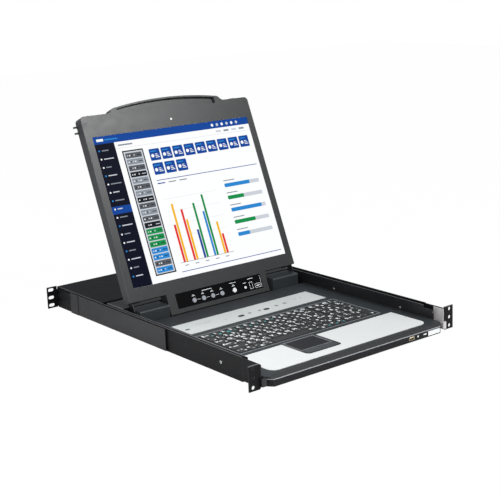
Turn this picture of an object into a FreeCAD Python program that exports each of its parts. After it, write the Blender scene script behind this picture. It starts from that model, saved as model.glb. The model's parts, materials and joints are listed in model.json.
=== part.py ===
"""Rackmount LCD console drawer: 19-inch, one rack unit, with a folding display and a keyboard.

Millimetres.  X to the right, Y to the back, Z up.  The origin is the centre of the front hole
pattern: Y = 0 is the rear face of the front ears, Z = 0 is mid height of the rack unit.
The drawer is in and the display stands open, leaning back.
"""
import FreeCAD, Part
import math
import os
import Sketcher

V = FreeCAD.Vector
doc = FreeCAD.newDocument("console_drawer")
sheet = doc.addObject("Spreadsheet::Sheet", "Sizes")

# A size that starts with "=" is tied to others; its "_off" size is the distance between them.
SIZES = {
    # front ears and chassis
    "ear_half_width": 241.3, "ear_half_height": 22.0, "ear_inner": "=wall_outer - ear_thick",
    "ear_thick": 2.0, "ear_corner": 3.0, "ear_leg": 44.0, "ear_leg_half_off": 2.0,
    "ear_leg_half": "=ear_half_height - ear_leg_half_off", "rack_hole_inset": 8.75,
    "rack_hole_x": "=ear_half_width - rack_hole_inset", "rack_hole_pitch": 15.875,
    "rack_hole_radius": 3.5, "tab_front_off": 14.0, "tab_front": "=ear_leg - tab_front_off",
    "tab_back_off": 22.0, "tab_back": "=ear_leg + tab_back_off", "tab_half": 13.0, "ear_reach": 22.8,
    "wall_outer": "=ear_half_width - ear_reach", "sheet": 1.2, "pan_low": "=-ear_half_height",
    "wall_top_off": 0.8, "wall_top": "=ear_half_height - wall_top_off", "chassis_back_off": 170.5,
    "chassis_back": "=housing_front + chassis_back_off", "latch_low": -8.0, "latch_top_off": 3.0,
    "latch_top": "=ear_half_height - latch_top_off", "latch_back": "=ear_leg / 2", # slides
    "outer_half": 16.0, "outer_front": 72.0, "outer_back_off": 15.0,
    "outer_back": "=chassis_back - outer_back_off", "outer_flange_off": 2.0,
    "outer_flange": "=tray_half + outer_flange_off", "middle_gap": 1.2, "middle_half": 12.6,
    "middle_front_off": 8.0, "middle_front": "=outer_front + middle_front_off",
    "middle_back_off": 110.0, "middle_back": "=outer_back - middle_back_off", "middle_flange_off": 0.7,
    "middle_flange": "=tray_half + middle_flange_off", "inner_half": 9.2, "inner_front": 20.0,
    "inner_back_off": 8.0, "inner_back": "=tray_back - inner_back_off", "inner_flange_off": 3.6,
    "inner_flange": "=tray_half + inner_flange_off", "race_clear": 0.3, "outer_race_front_off": 118.0,
    "outer_race_front": "=outer_front + outer_race_front_off", "outer_race_back_off": 220.0,
    "outer_race_back": "=outer_race_front + outer_race_back_off", "inner_race_front_off": 10.0,
    "inner_race_front": "=outer_race_front + inner_race_front_off", "inner_race_back_off": 150.0,
    "inner_race_back": "=inner_race_front + inner_race_back_off", "lever_front": -8.0,
    "lever_back": -3.2, "lever_reach": "=wall_outer", "lever_round": 2.5, "lever_low_off": 3.0,
    "lever_low": "=tray_low + lever_low_off", "lever_top_off": 1.0,
    "lever_top": "=deck_top - lever_top_off",
    # rear brackets and their sleeves
    "sleeve_front_off": 393.0, "sleeve_front": "=chassis_back - sleeve_front_off",
    "sleeve_back_off": 60.0, "sleeve_back": "=chassis_back - sleeve_back_off", "sleeve_low_off": 1.0,
    "sleeve_low": "=pan_low + sleeve_low_off", "sleeve_top_off": 1.7,
    "sleeve_top": "=wall_top - sleeve_top_off", "sleeve_outer_off": 3.4,
    "sleeve_outer": "=wall_outer + sleeve_outer_off", "collar_front_off": 28.0,
    "collar_front": "=sleeve_back - collar_front_off", "collar_outer_off": 0.9,
    "collar_outer": "=sleeve_outer + collar_outer_off", "arm_inner_off": 0.5,
    "arm_inner": "=wall_outer + arm_inner_off", "arm_thick": 1.4, "arm_low_off": 1.8,
    "arm_low": "=sleeve_low + arm_low_off", "arm_top_off": 3.5, "arm_top": "=sleeve_top - arm_top_off",
    "arm_front_off": 38.0, "arm_front": "=sleeve_front + arm_front_off", "bracket_back_off": 1.0,
    "bracket_back": "=chassis_back + bracket_back_off", "slot_half": 6.5, "slot_radius": 3.4,
    # switch housing
    "housing_front_off": 6.5, "housing_front": "=tray_back + housing_front_off",
    "housing_half_off": 12.5, "housing_half": "=wall_outer - housing_half_off",
    "housing_top": "=wall_top - sheet",
    # drawer tray and deck
    "slide_room": 9.1, "tray_half": "=wall_outer - slide_room", "tray_low_off": 1.5,
    "tray_low": "=pan_low + tray_low_off", "tray_top_off": 1.7, "tray_top": "=wall_top - tray_top_off",
    "tray_front": 18.6, "tray_back_off": 55.0, "tray_back": "=rear_deck_front + tray_back_off",
    "notch_back": 41.0, "notch_low_off": 5.5, "notch_low": "=tray_top - notch_low_off",
    "deck_top_off": 17.0, "deck_top": "=tray_low + deck_top_off", "deck_thick": 1.5,
    "deck_back_off": 2.6, "deck_back": "=cover_front - deck_back_off", "skirt": 4.0, "rib": 2.0,
    "rib_low_off": 5.7, "rib_low": "=deck_top - rib_low_off", "rear_deck_front_off": 4.0,
    "rear_deck_front": "=cover_back + rear_deck_front_off", "rear_deck_top_off": 0.5,
    "rear_deck_top": "=tray_top + rear_deck_top_off",
    # palm rest and touchpad
    "palm_half_off": 25.4, "palm_half": "=tray_half - palm_half_off", "palm_front": 8.0,
    "palm_back": 101.0, "palm_radius": 16.0, "palm_top_off": 0.8,
    "palm_top": "=deck_top + palm_top_off", "pad_left": -87.0, "pad_right": -6.0, "pad_front": 30.0,
    "pad_back": 108.0, "pad_frame": 5.0, "pad_radius": 9.0, "pad_fit": 0.2, "pad_well_off": 1.5,
    "pad_well": "=deck_top - pad_well_off", "click_well_off": 4.1,
    "click_well": "=deck_top - click_well_off", "click_front": 35.0, "click_back": 51.0,
    "click_top_off": 1.1, "click_top": "=deck_top + click_top_off", "click_low_off": 2.7,
    "click_low": "=deck_top - click_low_off", "click_fit": 0.3, "click_gap": 1.4, "pad_bottom_off": 5.7,
    "pad_bottom": "=deck_top - pad_bottom_off",
    # keyboard
    "key_left": -164.0, "key_front": 118.0, "key_pitch_x": 17.5, "key_pitch_y": 20.6, "key_gap": 1.2,
    "key_draft": 1.4, "key_top_off": 1.3, "key_top": "=deck_top + key_top_off", "key_height": 4.0,
    "stem": 3.0, "stem_length": 6.4, "stem_fit": 0.3, "numpad_left": 92.0, "plate_margin": 5.0,
    "base_thick": 1.2,
    # indicator strip
    "strip_half_off": 44.4, "strip_half": "=tray_half - strip_half_off", "strip_front": 263.0,
    "strip_back": 325.0, "strip_thick": 0.6, "strip_button_x": 31.0, "strip_button_y": 286.0,
    "strip_button_half": 4.6, "strip_button_radius": 3.8, "strip_button_top_off": 1.4,
    "strip_button_top": "=deck_top + strip_button_top_off", "strip_button_low_off": 3.7,
    "strip_button_low": "=deck_top - strip_button_low_off",
    # front bezel
    "bezel_half_off": 2.4, "bezel_half": "=tray_half - bezel_half_off", "bezel_front": -12.0,
    "bezel_corner": 10.0, "bezel_slope_y": -5.0, "bezel_slope_z_off": 5.1,
    "bezel_slope_z": "=deck_top - bezel_slope_z_off", "bezel_groove": 0.7, "port_x": 122.0,
    "port_z_off": 6.9, "port_z": "=tray_low + port_z_off", "port_half_x": 6.6, "port_half_z": 3.0,
    "port_depth": 13.0, "port_wall": 0.5, "front_lamp_x": 138.0, "front_lamp_radius": 1.9,
    # hinge
    "hinge_y": 400.5, "hinge_z_off": 11.5, "hinge_z": "=deck_top + hinge_z_off", "shaft_radius": 4.0,
    "shaft_clear": 0.35, "shaft_inner_off": 22.0, "shaft_inner": "=tongue_half - shaft_inner_off",
    "shaft_outer": "=arm_plate + arm_sheet", "cover_inner_off": 6.0,
    "cover_inner": "=tongue_half + cover_inner_off", "cover_outer_off": 14.4,
    "cover_outer": "=tray_half - cover_outer_off", "cover_round": 3.5, "cover_front_off": 18.5,
    "cover_front": "=hinge_y - cover_front_off", "cover_back_off": 18.5,
    "cover_back": "=hinge_y + cover_back_off", "cover_top": "=tray_top", "cover_wall": 1.6,
    "bearing_inner_off": 20.0, "bearing_inner": "=cover_inner + bearing_inner_off",
    "bearing_outer_off": 15.0, "bearing_outer": "=cover_outer - bearing_outer_off",
    "bearing_foot": 6.0, "bearing_half": 8.5, "bearing_top_off": 7.0,
    "bearing_top": "=hinge_z + bearing_top_off", "bearing_base": 2.0, "leaf_inner_off": 30.0,
    "leaf_inner": "=tongue_half - leaf_inner_off", "leaf_outer_off": 10.0,
    "leaf_outer": "=tongue_half - leaf_outer_off", "leaf_top": 36.0, "leaf_low": -9.0,
    "leaf_thick": 2.0, "arm_plate_off": 1.0, "arm_plate": "=cover_outer + arm_plate_off",
    "arm_sheet": 2.0, "arm_round": 7.0, "arm_foot": 18.0, "arm_foot_front": -5.0, "arm_foot_back": 9.0,
    # display
    "lean": 22.5, "face": -9.0, "bezel_thick": 2.0, "display_back": 13.0, "shell_wall": 1.8,
    "tongue_half_off": 81.0, "tongue_half": "=display_half - tongue_half_off", "tongue_low": -16.5,
    "notch_top": 25.0, "display_half_off": 6.4, "display_half": "=tray_half - display_half_off",
    "top_border": 42.5, "shoulder": "=screen_low + screen_height + top_border", "shoulder_round": 8.0,
    "handle_root_off": 61.0, "handle_root": "=display_half - handle_root_off", "handle_half_off": 20.0,
    "handle_half": "=handle_root - handle_half_off", "handle_side_off": 10.5,
    "handle_side": "=shoulder + handle_side_off", "handle_rise": 9.6, "grip_half_off": 4.0,
    "grip_half": "=handle_half - grip_half_off", "grip_low_off": 4.5,
    "grip_low": "=shoulder - grip_low_off", "grip_side_off": 2.8,
    "grip_side": "=handle_side - grip_side_off", "grip_rise": 9.0, "grip_depth": 6.5, "grip_wall": 1.2,
    "screen_half_off": 14.85, "screen_half": "=display_half - screen_half_off", "screen_low": 50.0,
    "screen_height": 301.0, "glass_thick": 1.0, "glass_fit": 0.2, "module_margin": 9.0,
    "module_thick": 10.0, "osd_left_off": 19.0, "osd_left": "=osd_left_off - tongue_half",
    "osd_right_off": 14.0, "osd_right": "=tongue_half - osd_right_off", "osd_low": -8.0,
    "osd_top": 22.0, "osd_recess": 0.6, "osd_flange": 2.0, "osd_back": -5.5, "knob_radius": 4.5,
    "knob_fit": 0.3, "knob_proud": 0.9, "knob_back": -4.5, "knob_height": 1.5, "knob_first": -62.4,
    "knob_pitch": 22.6, "power_knob_x": 36.7, "osd_lamp_x": 64.7, "osd_lamp_radius": 2.6,
    "top_lamp_height_off": 26.5, "top_lamp_height": "=shoulder - top_lamp_height_off",
    "top_lamp_radius": 2.2, # display catches
    "bolt_half": 1.7, "bolt_bevel": 1.8, "bolt_tip_off": 9.5, "bolt_tip": "=display_half + bolt_tip_off",
    "bolt_back": 8.3, "bolt_low_off": 12.0, "bolt_low": "=bolt_high - bolt_low_off",
    "bolt_high_off": 15.5, "bolt_high": "=shoulder - bolt_high_off", "catch_inner_off": 27.0,
    "catch_inner": "=display_half - catch_inner_off", "catch_outer_off": 8.0,
    "catch_outer": "=display_half - catch_outer_off", "catch_low_off": 3.5,
    "catch_low": "=bolt_low - catch_low_off", "catch_top_off": 4.0,
    "catch_top": "=bolt_high + catch_top_off", "catch_front": 5.4, "catch_end": 11.2,
    "finger_inner_off": 8.0, "finger_inner": "=catch_inner - finger_inner_off", "finger_outer_off": 4.0,
    "finger_outer": "=catch_inner + finger_outer_off", "finger_front": 3.6, "finger_end": 9.4,
    "finger_top_off": 4.0, "finger_top": "=shoulder + finger_top_off", "catch_travel": 6.0,
    "catch_fit": 0.4,
    # rear connections
    "video_left_off": 31.0, "video_left": "=video_left_off - housing_half", "video_room": 25.0,
    "video_pitch": "=(jack_x - video_left - video_room) / 7", "video_z": -3.0, "flange_gap": 3.0,
    "flange_half_x": "=(video_pitch - flange_gap) / 2", "flange_half_z": 6.3, "flange_thick": 0.9,
    "shell_top_x": 8.8, "shell_low_x": 7.8, "shell_half_z": 4.4, "shell_length": 5.6,
    "shell_thick": 0.6, "shell_rim": 0.8, "rear_body": 9.0, "jack_x_off": 58.0,
    "jack_x": "=rocker_x - jack_x_off", "jack_half_x": 7.8, "jack_half_z": 6.8, "jack_depth": 16.0,
    "jack_wall": 0.9, "jack_pitch": 18.0, "inlet_x_off": 26.0, "inlet_x": "=housing_half - inlet_x_off",
    "inlet_half_x": 13.8, "inlet_half_z": 10.0, "inlet_depth": 18.0, "inlet_wall": 2.4, "pin_half": 1.2,
    "pin_length": 12.0, "pin_spread": 7.0, "rocker_x_off": 34.0, "rocker_x": "=inlet_x - rocker_x_off",
    "rocker_half_x": 8.0, "rocker_half_z": 5.4, "rocker_front": -5.0, "rocker_back": 3.2,
    "rocker_pin": 1.3, "rocker_clear": 0.35, "frame_half_x": 11.5, "frame_half_z": 10.5,
    "frame_wall": 1.6, "frame_depth": 10.0,
    # boards
    "board_thick": 1.6, "board_front_off": 15.5, "board_front": "=housing_front + board_front_off",
    "board_back_off": 15.0, "board_back": "=chassis_back - board_back_off", "board_half": 120.0,
    "board_post": 6.0, "board_post_half": 4.0,
}

CELLS = {alias: f"A{row}" for row, alias in enumerate(SIZES, start=1)}
for alias, cell in CELLS.items():
    sheet.setAlias(cell, alias)
for alias, cell in CELLS.items():
    sheet.set(cell, str(SIZES[alias]))
doc.recompute()


class Size:
    """A number together with the sheet formula that gives it."""

    def __init__(self, value, formula):
        self.value = value
        self.formula = formula

    def __add__(self, other):
        other = size(other)
        return Size(self.value + other.value, f"({self.formula} + {other.formula})")

    def __sub__(self, other):
        other = size(other)
        return Size(self.value - other.value, f"({self.formula} - {other.formula})")

    def __mul__(self, other):
        other = size(other)
        return Size(self.value * other.value, f"({self.formula} * {other.formula})")

    def __truediv__(self, other):
        other = size(other)
        return Size(self.value / other.value, f"({self.formula} / {other.formula})")

    def __radd__(self, other):
        return size(other) + self

    def __rsub__(self, other):
        return size(other) - self

    def __rmul__(self, other):
        return size(other) * self

    def __neg__(self):
        return Size(-self.value, f"(-1 * {self.formula})")


def size(number):
    return number if isinstance(number, Size) else Size(float(number), f"({number})")


class Sheet:
    """Each named size of the sheet, as a Size."""

    def __getattr__(self, alias):
        return Size(float(sheet.get(CELLS[alias])), f"Sizes.{alias}")


S = Sheet()


# ---------------------------------------------------------------- outlines
def rect(x0, x1, y0, y1, radius=None):
    """A rectangle, its corners rounded when a radius is given."""
    if radius is None:
        return [(x0, y0), (x1, y0), (x1, y1), (x0, y1)]
    return [(x0 + radius, y0), (x1 - radius, y0, radius), (x1, y0 + radius),
            (x1, y1 - radius, radius), (x1 - radius, y1), (x0 + radius, y1, radius),
            (x0, y1 - radius), (x0, y0 + radius, radius)]


def circle(x, y, radius):
    return ("circle", x, y, radius)


def slot(x, y, half, radius):
    """A slot along the first axis: straight part of twice half, round ends."""
    return [(x - half, y - radius), (x + half, y - radius, radius * 1.0001),
            (x + half, y + radius), (x - half, y + radius, radius * 1.0001)]


def mirrored(outline):
    """The outline on the other side of the first axis, still counter-clockwise."""
    if outline[0] == "circle":
        return circle(-outline[1], outline[2], outline[3])
    count = len(outline)
    turned = []
    for index in range(count - 1, -1, -1):
        x, y = outline[index][:2]
        before = outline[index - 1]
        turned.append((-x, y) + tuple(before[2:]))
    return turned


def sided(side, outline):
    return outline if side > 0 else mirrored(outline)


# ---------------------------------------------------------------- building
class Piece:
    """A PartDesign body made of pads and pockets on its own origin planes."""

    AXES = {"X": ("YZ_Plane", 1), "Y": ("XZ_Plane", -1), "Z": ("XY_Plane", 1)}

    def __init__(self, name):
        self.body = doc.addObject("PartDesign::Body", name)
        self.body.AllowCompound = True
        self.name = name
        self.count = 0

    def sketch(self, axis, outlines, level):
        """A sketch across the axis at the level, every outline fixed by its sizes."""
        self.count += 1
        role, turn = self.AXES[axis]
        made = self.body.newObject("Sketcher::SketchObject", f"{self.name}_sketch_{self.count}")
        plane = [item for item in self.body.Origin.OriginFeatures if item.Role == role][0]
        made.AttachmentSupport = [(plane, "")]
        made.MapMode = "FlatFace"
        made.setExpression("AttachmentOffset.Base.z", (size(level) * turn).formula)
        for outline in outlines:
            if outline[0] == "circle":
                self.draw_circle(made, *outline[1:])
            else:
                self.draw_loop(made, outline)
        return made

    def fix(self, made, kind, *where, value):
        number = made.addConstraint(Sketcher.Constraint(kind, *where, value.value))
        made.setExpression(f"Constraints[{number}]", value.formula)

    def draw_circle(self, made, x, y, radius):
        x, y, radius = size(x), size(y), size(radius)
        item = made.addGeometry(Part.Circle(V(x.value, y.value, 0), V(0, 0, 1), radius.value), False)
        self.fix(made, "DistanceX", -1, 1, item, 3, value=x)
        self.fix(made, "DistanceY", -1, 1, item, 3, value=y)
        self.fix(made, "Radius", item, value=radius)

    def draw_loop(self, made, outline):
        corners = [(size(c[0]), size(c[1]), c[2] if len(c) > 2 else None) for c in outline]
        count = len(corners)
        ends = []
        for index, (x, y, radius) in enumerate(corners):
            there = corners[(index + 1) % count]
            start, end = V(x.value, y.value, 0), V(there[0].value, there[1].value, 0)
            if radius is None:
                item = made.addGeometry(Part.LineSegment(start, end), False)
                ends.append((item, 1, 2))
                continue
            hollow = radius.value < 0
            reach = abs(radius.value)
            half = (end - start) * 0.5
            left = V(-half.y, half.x, 0).normalize() * (-1 if hollow else 1)
            depth = math.sqrt(max(reach ** 2 - half.Length ** 2, 0.0))
            top = start + half + left * (depth - reach)
            if hollow:
                item = made.addGeometry(Part.Arc(end, top, start), False)
                ends.append((item, 2, 1))
            else:
                item = made.addGeometry(Part.Arc(start, top, end), False)
                ends.append((item, 1, 2))
        for index in range(count):
            item, first, last = ends[index]
            after = ends[(index + 1) % count]
            made.addConstraint(Sketcher.Constraint("Coincident", item, last, after[0], after[1]))
            x, y, radius = corners[index]
            self.fix(made, "DistanceX", -1, 1, item, first, value=x)
            self.fix(made, "DistanceY", -1, 1, item, first, value=y)
            if radius is not None:
                value = -radius if radius.value < 0 else radius
                self.fix(made, "Radius", item, value=value)

    def pad(self, axis, outlines, low, high):
        """Add material across the axis from low to high."""
        low, high = size(low), size(high)
        made = self.sketch(axis, outlines, high if axis == "Y" else low)
        feature = self.body.newObject("PartDesign::Pad", f"{self.name}_pad_{self.count}")
        feature.Profile = made
        feature.setExpression("Length", (high - low).formula)
        self.body.Tip = feature
        return self

    def cut(self, axis, outlines, low, high):
        """Take material away across the axis from low to high."""
        low, high = size(low), size(high)
        made = self.sketch(axis, outlines, low if axis == "Y" else high)
        feature = self.body.newObject("PartDesign::Pocket", f"{self.name}_cut_{self.count}")
        feature.Profile = made
        feature.setExpression("Length", (high - low).formula)
        self.body.Tip = feature
        return self


def bind(item, **sizes):
    """Bind properties of a primitive to sizes; Base_x stands for Placement.Base.x."""
    for name, value in sizes.items():
        path = name.replace("Base_", "Placement.Base.")
        item.setExpression(path, size(value).formula)
    return item


def block(name, x0, x1, y0, y1, z0, z1):
    item = doc.addObject("Part::Box", name)
    return bind(item, Length=x1 - x0, Width=y1 - y0, Height=z1 - z0, Base_x=x0, Base_y=y0, Base_z=z0)


def together(name, items, kind="Part::Compound"):
    """Several solids as one object, fused when the kind asks for it."""
    item = doc.addObject(kind, name)
    if kind == "Part::Compound":
        item.Links = items
    else:
        item.Shapes = items
    return item


def span(side, inner, outer):
    return (inner, outer) if side > 0 else (-outer, -inner)


parts = {}


def keep(name, item):
    item.Label = name
    parts[name] = item
    return item


def keep_standing(name, item):
    """Keep a display part, drawn upright about the hinge axis, and lean it back."""
    item.Placement = FreeCAD.Placement(V(), FreeCAD.Rotation(V(1, 0, 0), -S.lean.value))
    bind(item, Base_y=S.hinge_y, Base_z=S.hinge_z)
    item.setExpression("Placement.Rotation.Angle", (-S.lean).formula)
    return keep(name, item)


SIDES = ((-1, "left"), (1, "right"))


# ---------------------------------------------------------------- chassis
wall_inner = S.wall_outer - S.sheet
pan_top = S.pan_low + S.sheet

shell = Piece("chassis_shell")
shell.pad("Y", [[(-S.wall_outer, S.pan_low), (S.wall_outer, S.pan_low), (S.wall_outer, S.wall_top),
                 (wall_inner, S.wall_top), (wall_inner, pan_top), (-wall_inner, pan_top),
                 (-wall_inner, S.wall_top), (-S.wall_outer, S.wall_top)]],
          S.ear_leg, S.chassis_back)
keep("chassis_shell", shell.body)

for side, word in SIDES:
    ear = Piece(f"front_ear_{word}")
    flange = [(S.ear_inner, -S.ear_half_height + S.ear_corner),
              (S.ear_inner + S.ear_corner, -S.ear_half_height),
              (S.ear_half_width, -S.ear_half_height), (S.ear_half_width, S.ear_half_height),
              (S.ear_inner + S.ear_corner, S.ear_half_height),
              (S.ear_inner, S.ear_half_height - S.ear_corner)]
    holes = [circle(S.rack_hole_x, step * S.rack_hole_pitch, S.rack_hole_radius) for step in (-1, 0, 1)]
    leg = rect(S.ear_inner, S.wall_outer, -S.ear_leg_half, S.ear_leg_half)
    tab = rect(wall_inner - S.ear_thick, wall_inner, -S.tab_half, S.tab_half)
    ear.pad("Y", [sided(side, item) for item in [flange] + holes], -S.ear_thick, 0)
    ear.pad("Y", [sided(side, leg)], 0, S.ear_leg)
    ear.pad("Y", [sided(side, tab)], S.tab_front, S.tab_back)
    keep(f"front_ear_{word}", ear.body)

latches = Piece("latch_plates")
for side, _ in SIDES:
    x0, x1 = span(side, S.ear_inner - S.sheet, S.ear_inner)
    latches.pad("X", [rect(-S.ear_thick, S.latch_back, S.latch_low, S.latch_top)], x0, x1)
keep("latch_plates", latches.body)


def channel(web0, web1, flange_end, half):
    """A C channel: web from web0 to web1, flanges reaching flange_end."""
    lip = half - S.sheet
    if flange_end.value < web0.value:
        return [(web1, -half), (web1, half), (flange_end, half), (flange_end, lip), (web0, lip),
                (web0, -lip), (flange_end, -lip), (flange_end, -half)]
    return [(web0, -half), (flange_end, -half), (flange_end, -lip), (web1, -lip), (web1, lip),
            (flange_end, lip), (flange_end, half), (web0, half)]


def slides(name, web0, web1, flange_end, half, front, back):
    piece = Piece(name)
    outline = channel(web0, web1, flange_end, half)
    piece.pad("Y", [sided(side, outline) for side, _ in SIDES], front, back)
    keep(name, piece.body)
    return piece


outer_web = wall_inner - S.sheet
middle_web = outer_web - S.middle_gap
slides("slide_outers", outer_web, wall_inner, S.outer_flange, S.outer_half, S.outer_front,
       S.outer_back)
slides("slide_middles", middle_web - S.sheet, middle_web, S.middle_flange, S.middle_half,
       S.middle_front, S.middle_back)
inner = slides("slide_inners", S.tray_half, S.tray_half + S.sheet, S.inner_flange, S.inner_half,
               S.inner_front, S.inner_back)
for side, _ in SIDES:
    web = S.tray_half + S.sheet
    lever = [(S.tray_half, S.lever_front), (S.lever_reach - S.lever_round, S.lever_front, S.lever_round),
             (S.lever_reach, S.lever_front + S.lever_round), (S.lever_reach, S.lever_back),
             (web, S.lever_back), (web, S.inner_front), (S.tray_half, S.inner_front)]
    inner.pad("Z", [sided(side, lever)], S.lever_low, S.lever_top)


def races(name, inner, outer, low, high, front, back):
    """Four strips that carry the balls between two slide members."""
    piece = Piece(name)
    outlines = []
    for side, _ in SIDES:
        x0, x1 = span(side, inner, outer)
        outlines += [rect(x0, x1, low, high), rect(x0, x1, -high, -low)]
    piece.pad("Y", outlines, front, back)
    keep(name, piece.body)


races("outer_races", S.outer_flange, outer_web - S.race_clear, S.middle_half + S.race_clear,
      S.outer_half - S.sheet - S.race_clear, S.outer_race_front, S.outer_race_back)
races("inner_races", S.middle_flange, middle_web - S.sheet - S.race_clear,
      S.inner_half + S.race_clear, S.middle_half - S.sheet - S.race_clear,
      S.inner_race_front, S.inner_race_back)

for side, word in SIDES:
    sleeve = Piece(f"bracket_sleeve_{word}")
    web = S.sleeve_outer - S.sheet
    outline = [(S.wall_outer, S.sleeve_low), (S.sleeve_outer, S.sleeve_low),
               (S.sleeve_outer, S.sleeve_top), (S.wall_outer, S.sleeve_top),
               (S.wall_outer, S.sleeve_top - S.sheet), (web, S.sleeve_top - S.sheet),
               (web, S.sleeve_low + S.sheet), (S.wall_outer, S.sleeve_low + S.sheet)]
    x0, x1 = span(side, web, S.collar_outer)
    sleeve.pad("Y", [sided(side, outline)], S.sleeve_front, S.sleeve_back)
    sleeve.pad("Y", [rect(x0, x1, S.sleeve_low, S.sleeve_top)], S.collar_front, S.sleeve_back)
    keep(f"bracket_sleeve_{word}", sleeve.body)

for side, word in SIDES:
    bracket = Piece(f"rear_bracket_{word}")
    x0, x1 = span(side, S.arm_inner, S.arm_inner + S.arm_thick)
    bracket.pad("Y", [rect(x0, x1, S.arm_low, S.arm_top)], S.arm_front, S.bracket_back)
    x0, x1 = span(side, S.arm_inner, S.ear_half_width)
    straight = S.slot_half - S.slot_radius
    slots = [slot(side * S.rack_hole_x, step * S.rack_hole_pitch, straight, S.slot_radius)
             for step in (-1, 0, 1)]
    bracket.pad("Y", [rect(x0, x1, -S.ear_half_height, S.ear_half_height)] + slots,
                S.bracket_back, S.bracket_back + S.ear_thick)
    keep(f"rear_bracket_{word}", bracket.body)


# ---------------------------------------------------------------- switch housing
back_inner = S.chassis_back - S.sheet
rear_z = S.video_z
video_x = [S.video_left + step * S.video_pitch for step in range(8)]
jack_x = [S.jack_x + step * S.jack_pitch for step in range(2)]

housing = Piece("switch_housing")
housing.pad("Y", [rect(-S.housing_half, S.housing_half, pan_top, S.housing_top)],
            S.housing_front, S.housing_front + S.sheet)
for side, _ in SIDES:
    x0, x1 = span(side, S.housing_half - S.sheet, S.housing_half)
    housing.pad("Y", [rect(x0, x1, pan_top, S.housing_top)], S.housing_front, back_inner)
housing.pad("Y", [rect(-wall_inner, wall_inner, pan_top, S.housing_top)], back_inner, S.chassis_back)
openings = [rect(x - S.shell_top_x, x + S.shell_top_x, rear_z - S.shell_half_z, rear_z + S.shell_half_z)
            for x in video_x]
openings += [rect(x - S.jack_half_x, x + S.jack_half_x, rear_z - S.jack_half_z, rear_z + S.jack_half_z)
             for x in jack_x]
openings += [rect(S.inlet_x - S.inlet_half_x, S.inlet_x + S.inlet_half_x,
                  rear_z - S.inlet_half_z, rear_z + S.inlet_half_z),
             rect(S.rocker_x - S.frame_half_x + S.frame_wall, S.rocker_x + S.frame_half_x - S.frame_wall,
                  rear_z - S.frame_half_z + S.frame_wall, rear_z + S.frame_half_z - S.frame_wall)]
housing.cut("Y", openings, back_inner, S.chassis_back)
keep("switch_housing", housing.body)

keep("top_cover", block("top_cover", -wall_inner, wall_inner, S.housing_front, S.chassis_back,
                        S.housing_top, S.wall_top))

board = Piece("main_board")
board.pad("Z", [rect(-S.board_half, S.board_half, S.board_front, S.board_back)],
          pan_top + S.board_post, pan_top + S.board_post + S.board_thick)
posts = [rect(x - S.board_post_half, x + S.board_post_half, y, y + 2 * S.board_post_half)
         for x in (-S.board_half * 0.9, S.board_half * 0.9)
         for y in (S.board_front, S.board_back - 2 * S.board_post_half)]
board.pad("Z", posts, pan_top, pan_top + S.board_post)
keep("main_board", board.body)


def shell_outline(x, grow):
    """The slanted outline of a video connector."""
    top, low, half = S.shell_top_x - grow, S.shell_low_x - grow, S.shell_half_z - grow
    return [(x - low, rear_z - half), (x + low, rear_z - half), (x + top, rear_z + half),
            (x - top, rear_z + half)]


face = S.chassis_back
video = Piece("video_ports")
video.pad("Y", [rect(x - S.flange_half_x, x + S.flange_half_x, rear_z - S.flange_half_z,
                     rear_z + S.flange_half_z) for x in video_x], face, face + S.flange_thick)
video.pad("Y", [shell_outline(x, 0) for x in video_x], face - S.rear_body, face + S.shell_length)
video.cut("Y", [shell_outline(x, S.shell_thick) for x in video_x],
          face + S.shell_length - S.shell_rim, face + S.shell_length)
keep("video_ports", video.body)

jacks = Piece("network_jacks")
jacks.pad("Y", [rect(x - S.jack_half_x, x + S.jack_half_x, rear_z - S.jack_half_z, rear_z + S.jack_half_z)
                for x in jack_x], face - S.jack_depth, face + S.flange_thick)
jacks.cut("Y", [rect(x - S.jack_half_x + S.jack_wall, x + S.jack_half_x - S.jack_wall,
                     rear_z - S.jack_half_z + S.jack_wall, rear_z + S.jack_half_z - S.jack_wall)
                for x in jack_x], face - S.jack_depth + 2 * S.jack_wall, face + S.flange_thick)
keep("network_jacks", jacks.body)

inlet = Piece("power_inlet")
wall = S.inlet_wall
inlet.pad("Y", [rect(S.inlet_x - S.inlet_half_x, S.inlet_x + S.inlet_half_x,
                     rear_z - S.inlet_half_z, rear_z + S.inlet_half_z)],
          face - S.inlet_depth, face + S.flange_thick)
x0, x1 = S.inlet_x - S.inlet_half_x + wall, S.inlet_x + S.inlet_half_x - wall
z0, z1 = rear_z - S.inlet_half_z + wall, rear_z + S.inlet_half_z - wall
inlet.cut("Y", [[(x0, z0), (x1, z0), (x1, z1 - wall), (x1 - wall, z1), (x0 + wall, z1), (x0, z1 - wall)]],
          face - S.inlet_depth + wall, face + S.flange_thick)
pins = []
for step in (-1, 0, 1):
    x, low = S.inlet_x + step * S.pin_spread, rear_z + (abs(step) - 2) * S.pin_half
    pins.append(rect(x - S.pin_half / 2, x + S.pin_half / 2, low, low + 3 * S.pin_half))
inlet.pad("Y", pins, face - S.inlet_depth + wall, face - S.inlet_depth + wall + S.pin_length)
keep("power_inlet", inlet.body)

frame = Piece("rocker_frame")
frame.pad("Y", [rect(S.rocker_x - S.frame_half_x, S.rocker_x + S.frame_half_x,
                     rear_z - S.frame_half_z, rear_z + S.frame_half_z)], face, face + S.flange_thick)
well_x, well_z = S.frame_half_x - S.frame_wall, S.frame_half_z - S.frame_wall
frame.pad("Y", [rect(S.rocker_x - well_x, S.rocker_x + well_x, rear_z - well_z, rear_z + well_z)],
          face - S.frame_depth, face)
cheek = S.rocker_half_x + S.rocker_clear
frame.cut("Y", [rect(S.rocker_x - cheek, S.rocker_x + cheek, rear_z - well_z + S.frame_wall / 2,
                     rear_z + well_z - S.frame_wall / 2)], face - S.frame_depth, face + S.flange_thick)
frame.cut("X", [circle(face + S.rocker_front / 2, rear_z, S.rocker_pin + S.rocker_clear)],
          S.rocker_x - well_x, S.rocker_x + well_x)
keep("rocker_frame", frame.body)

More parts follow.
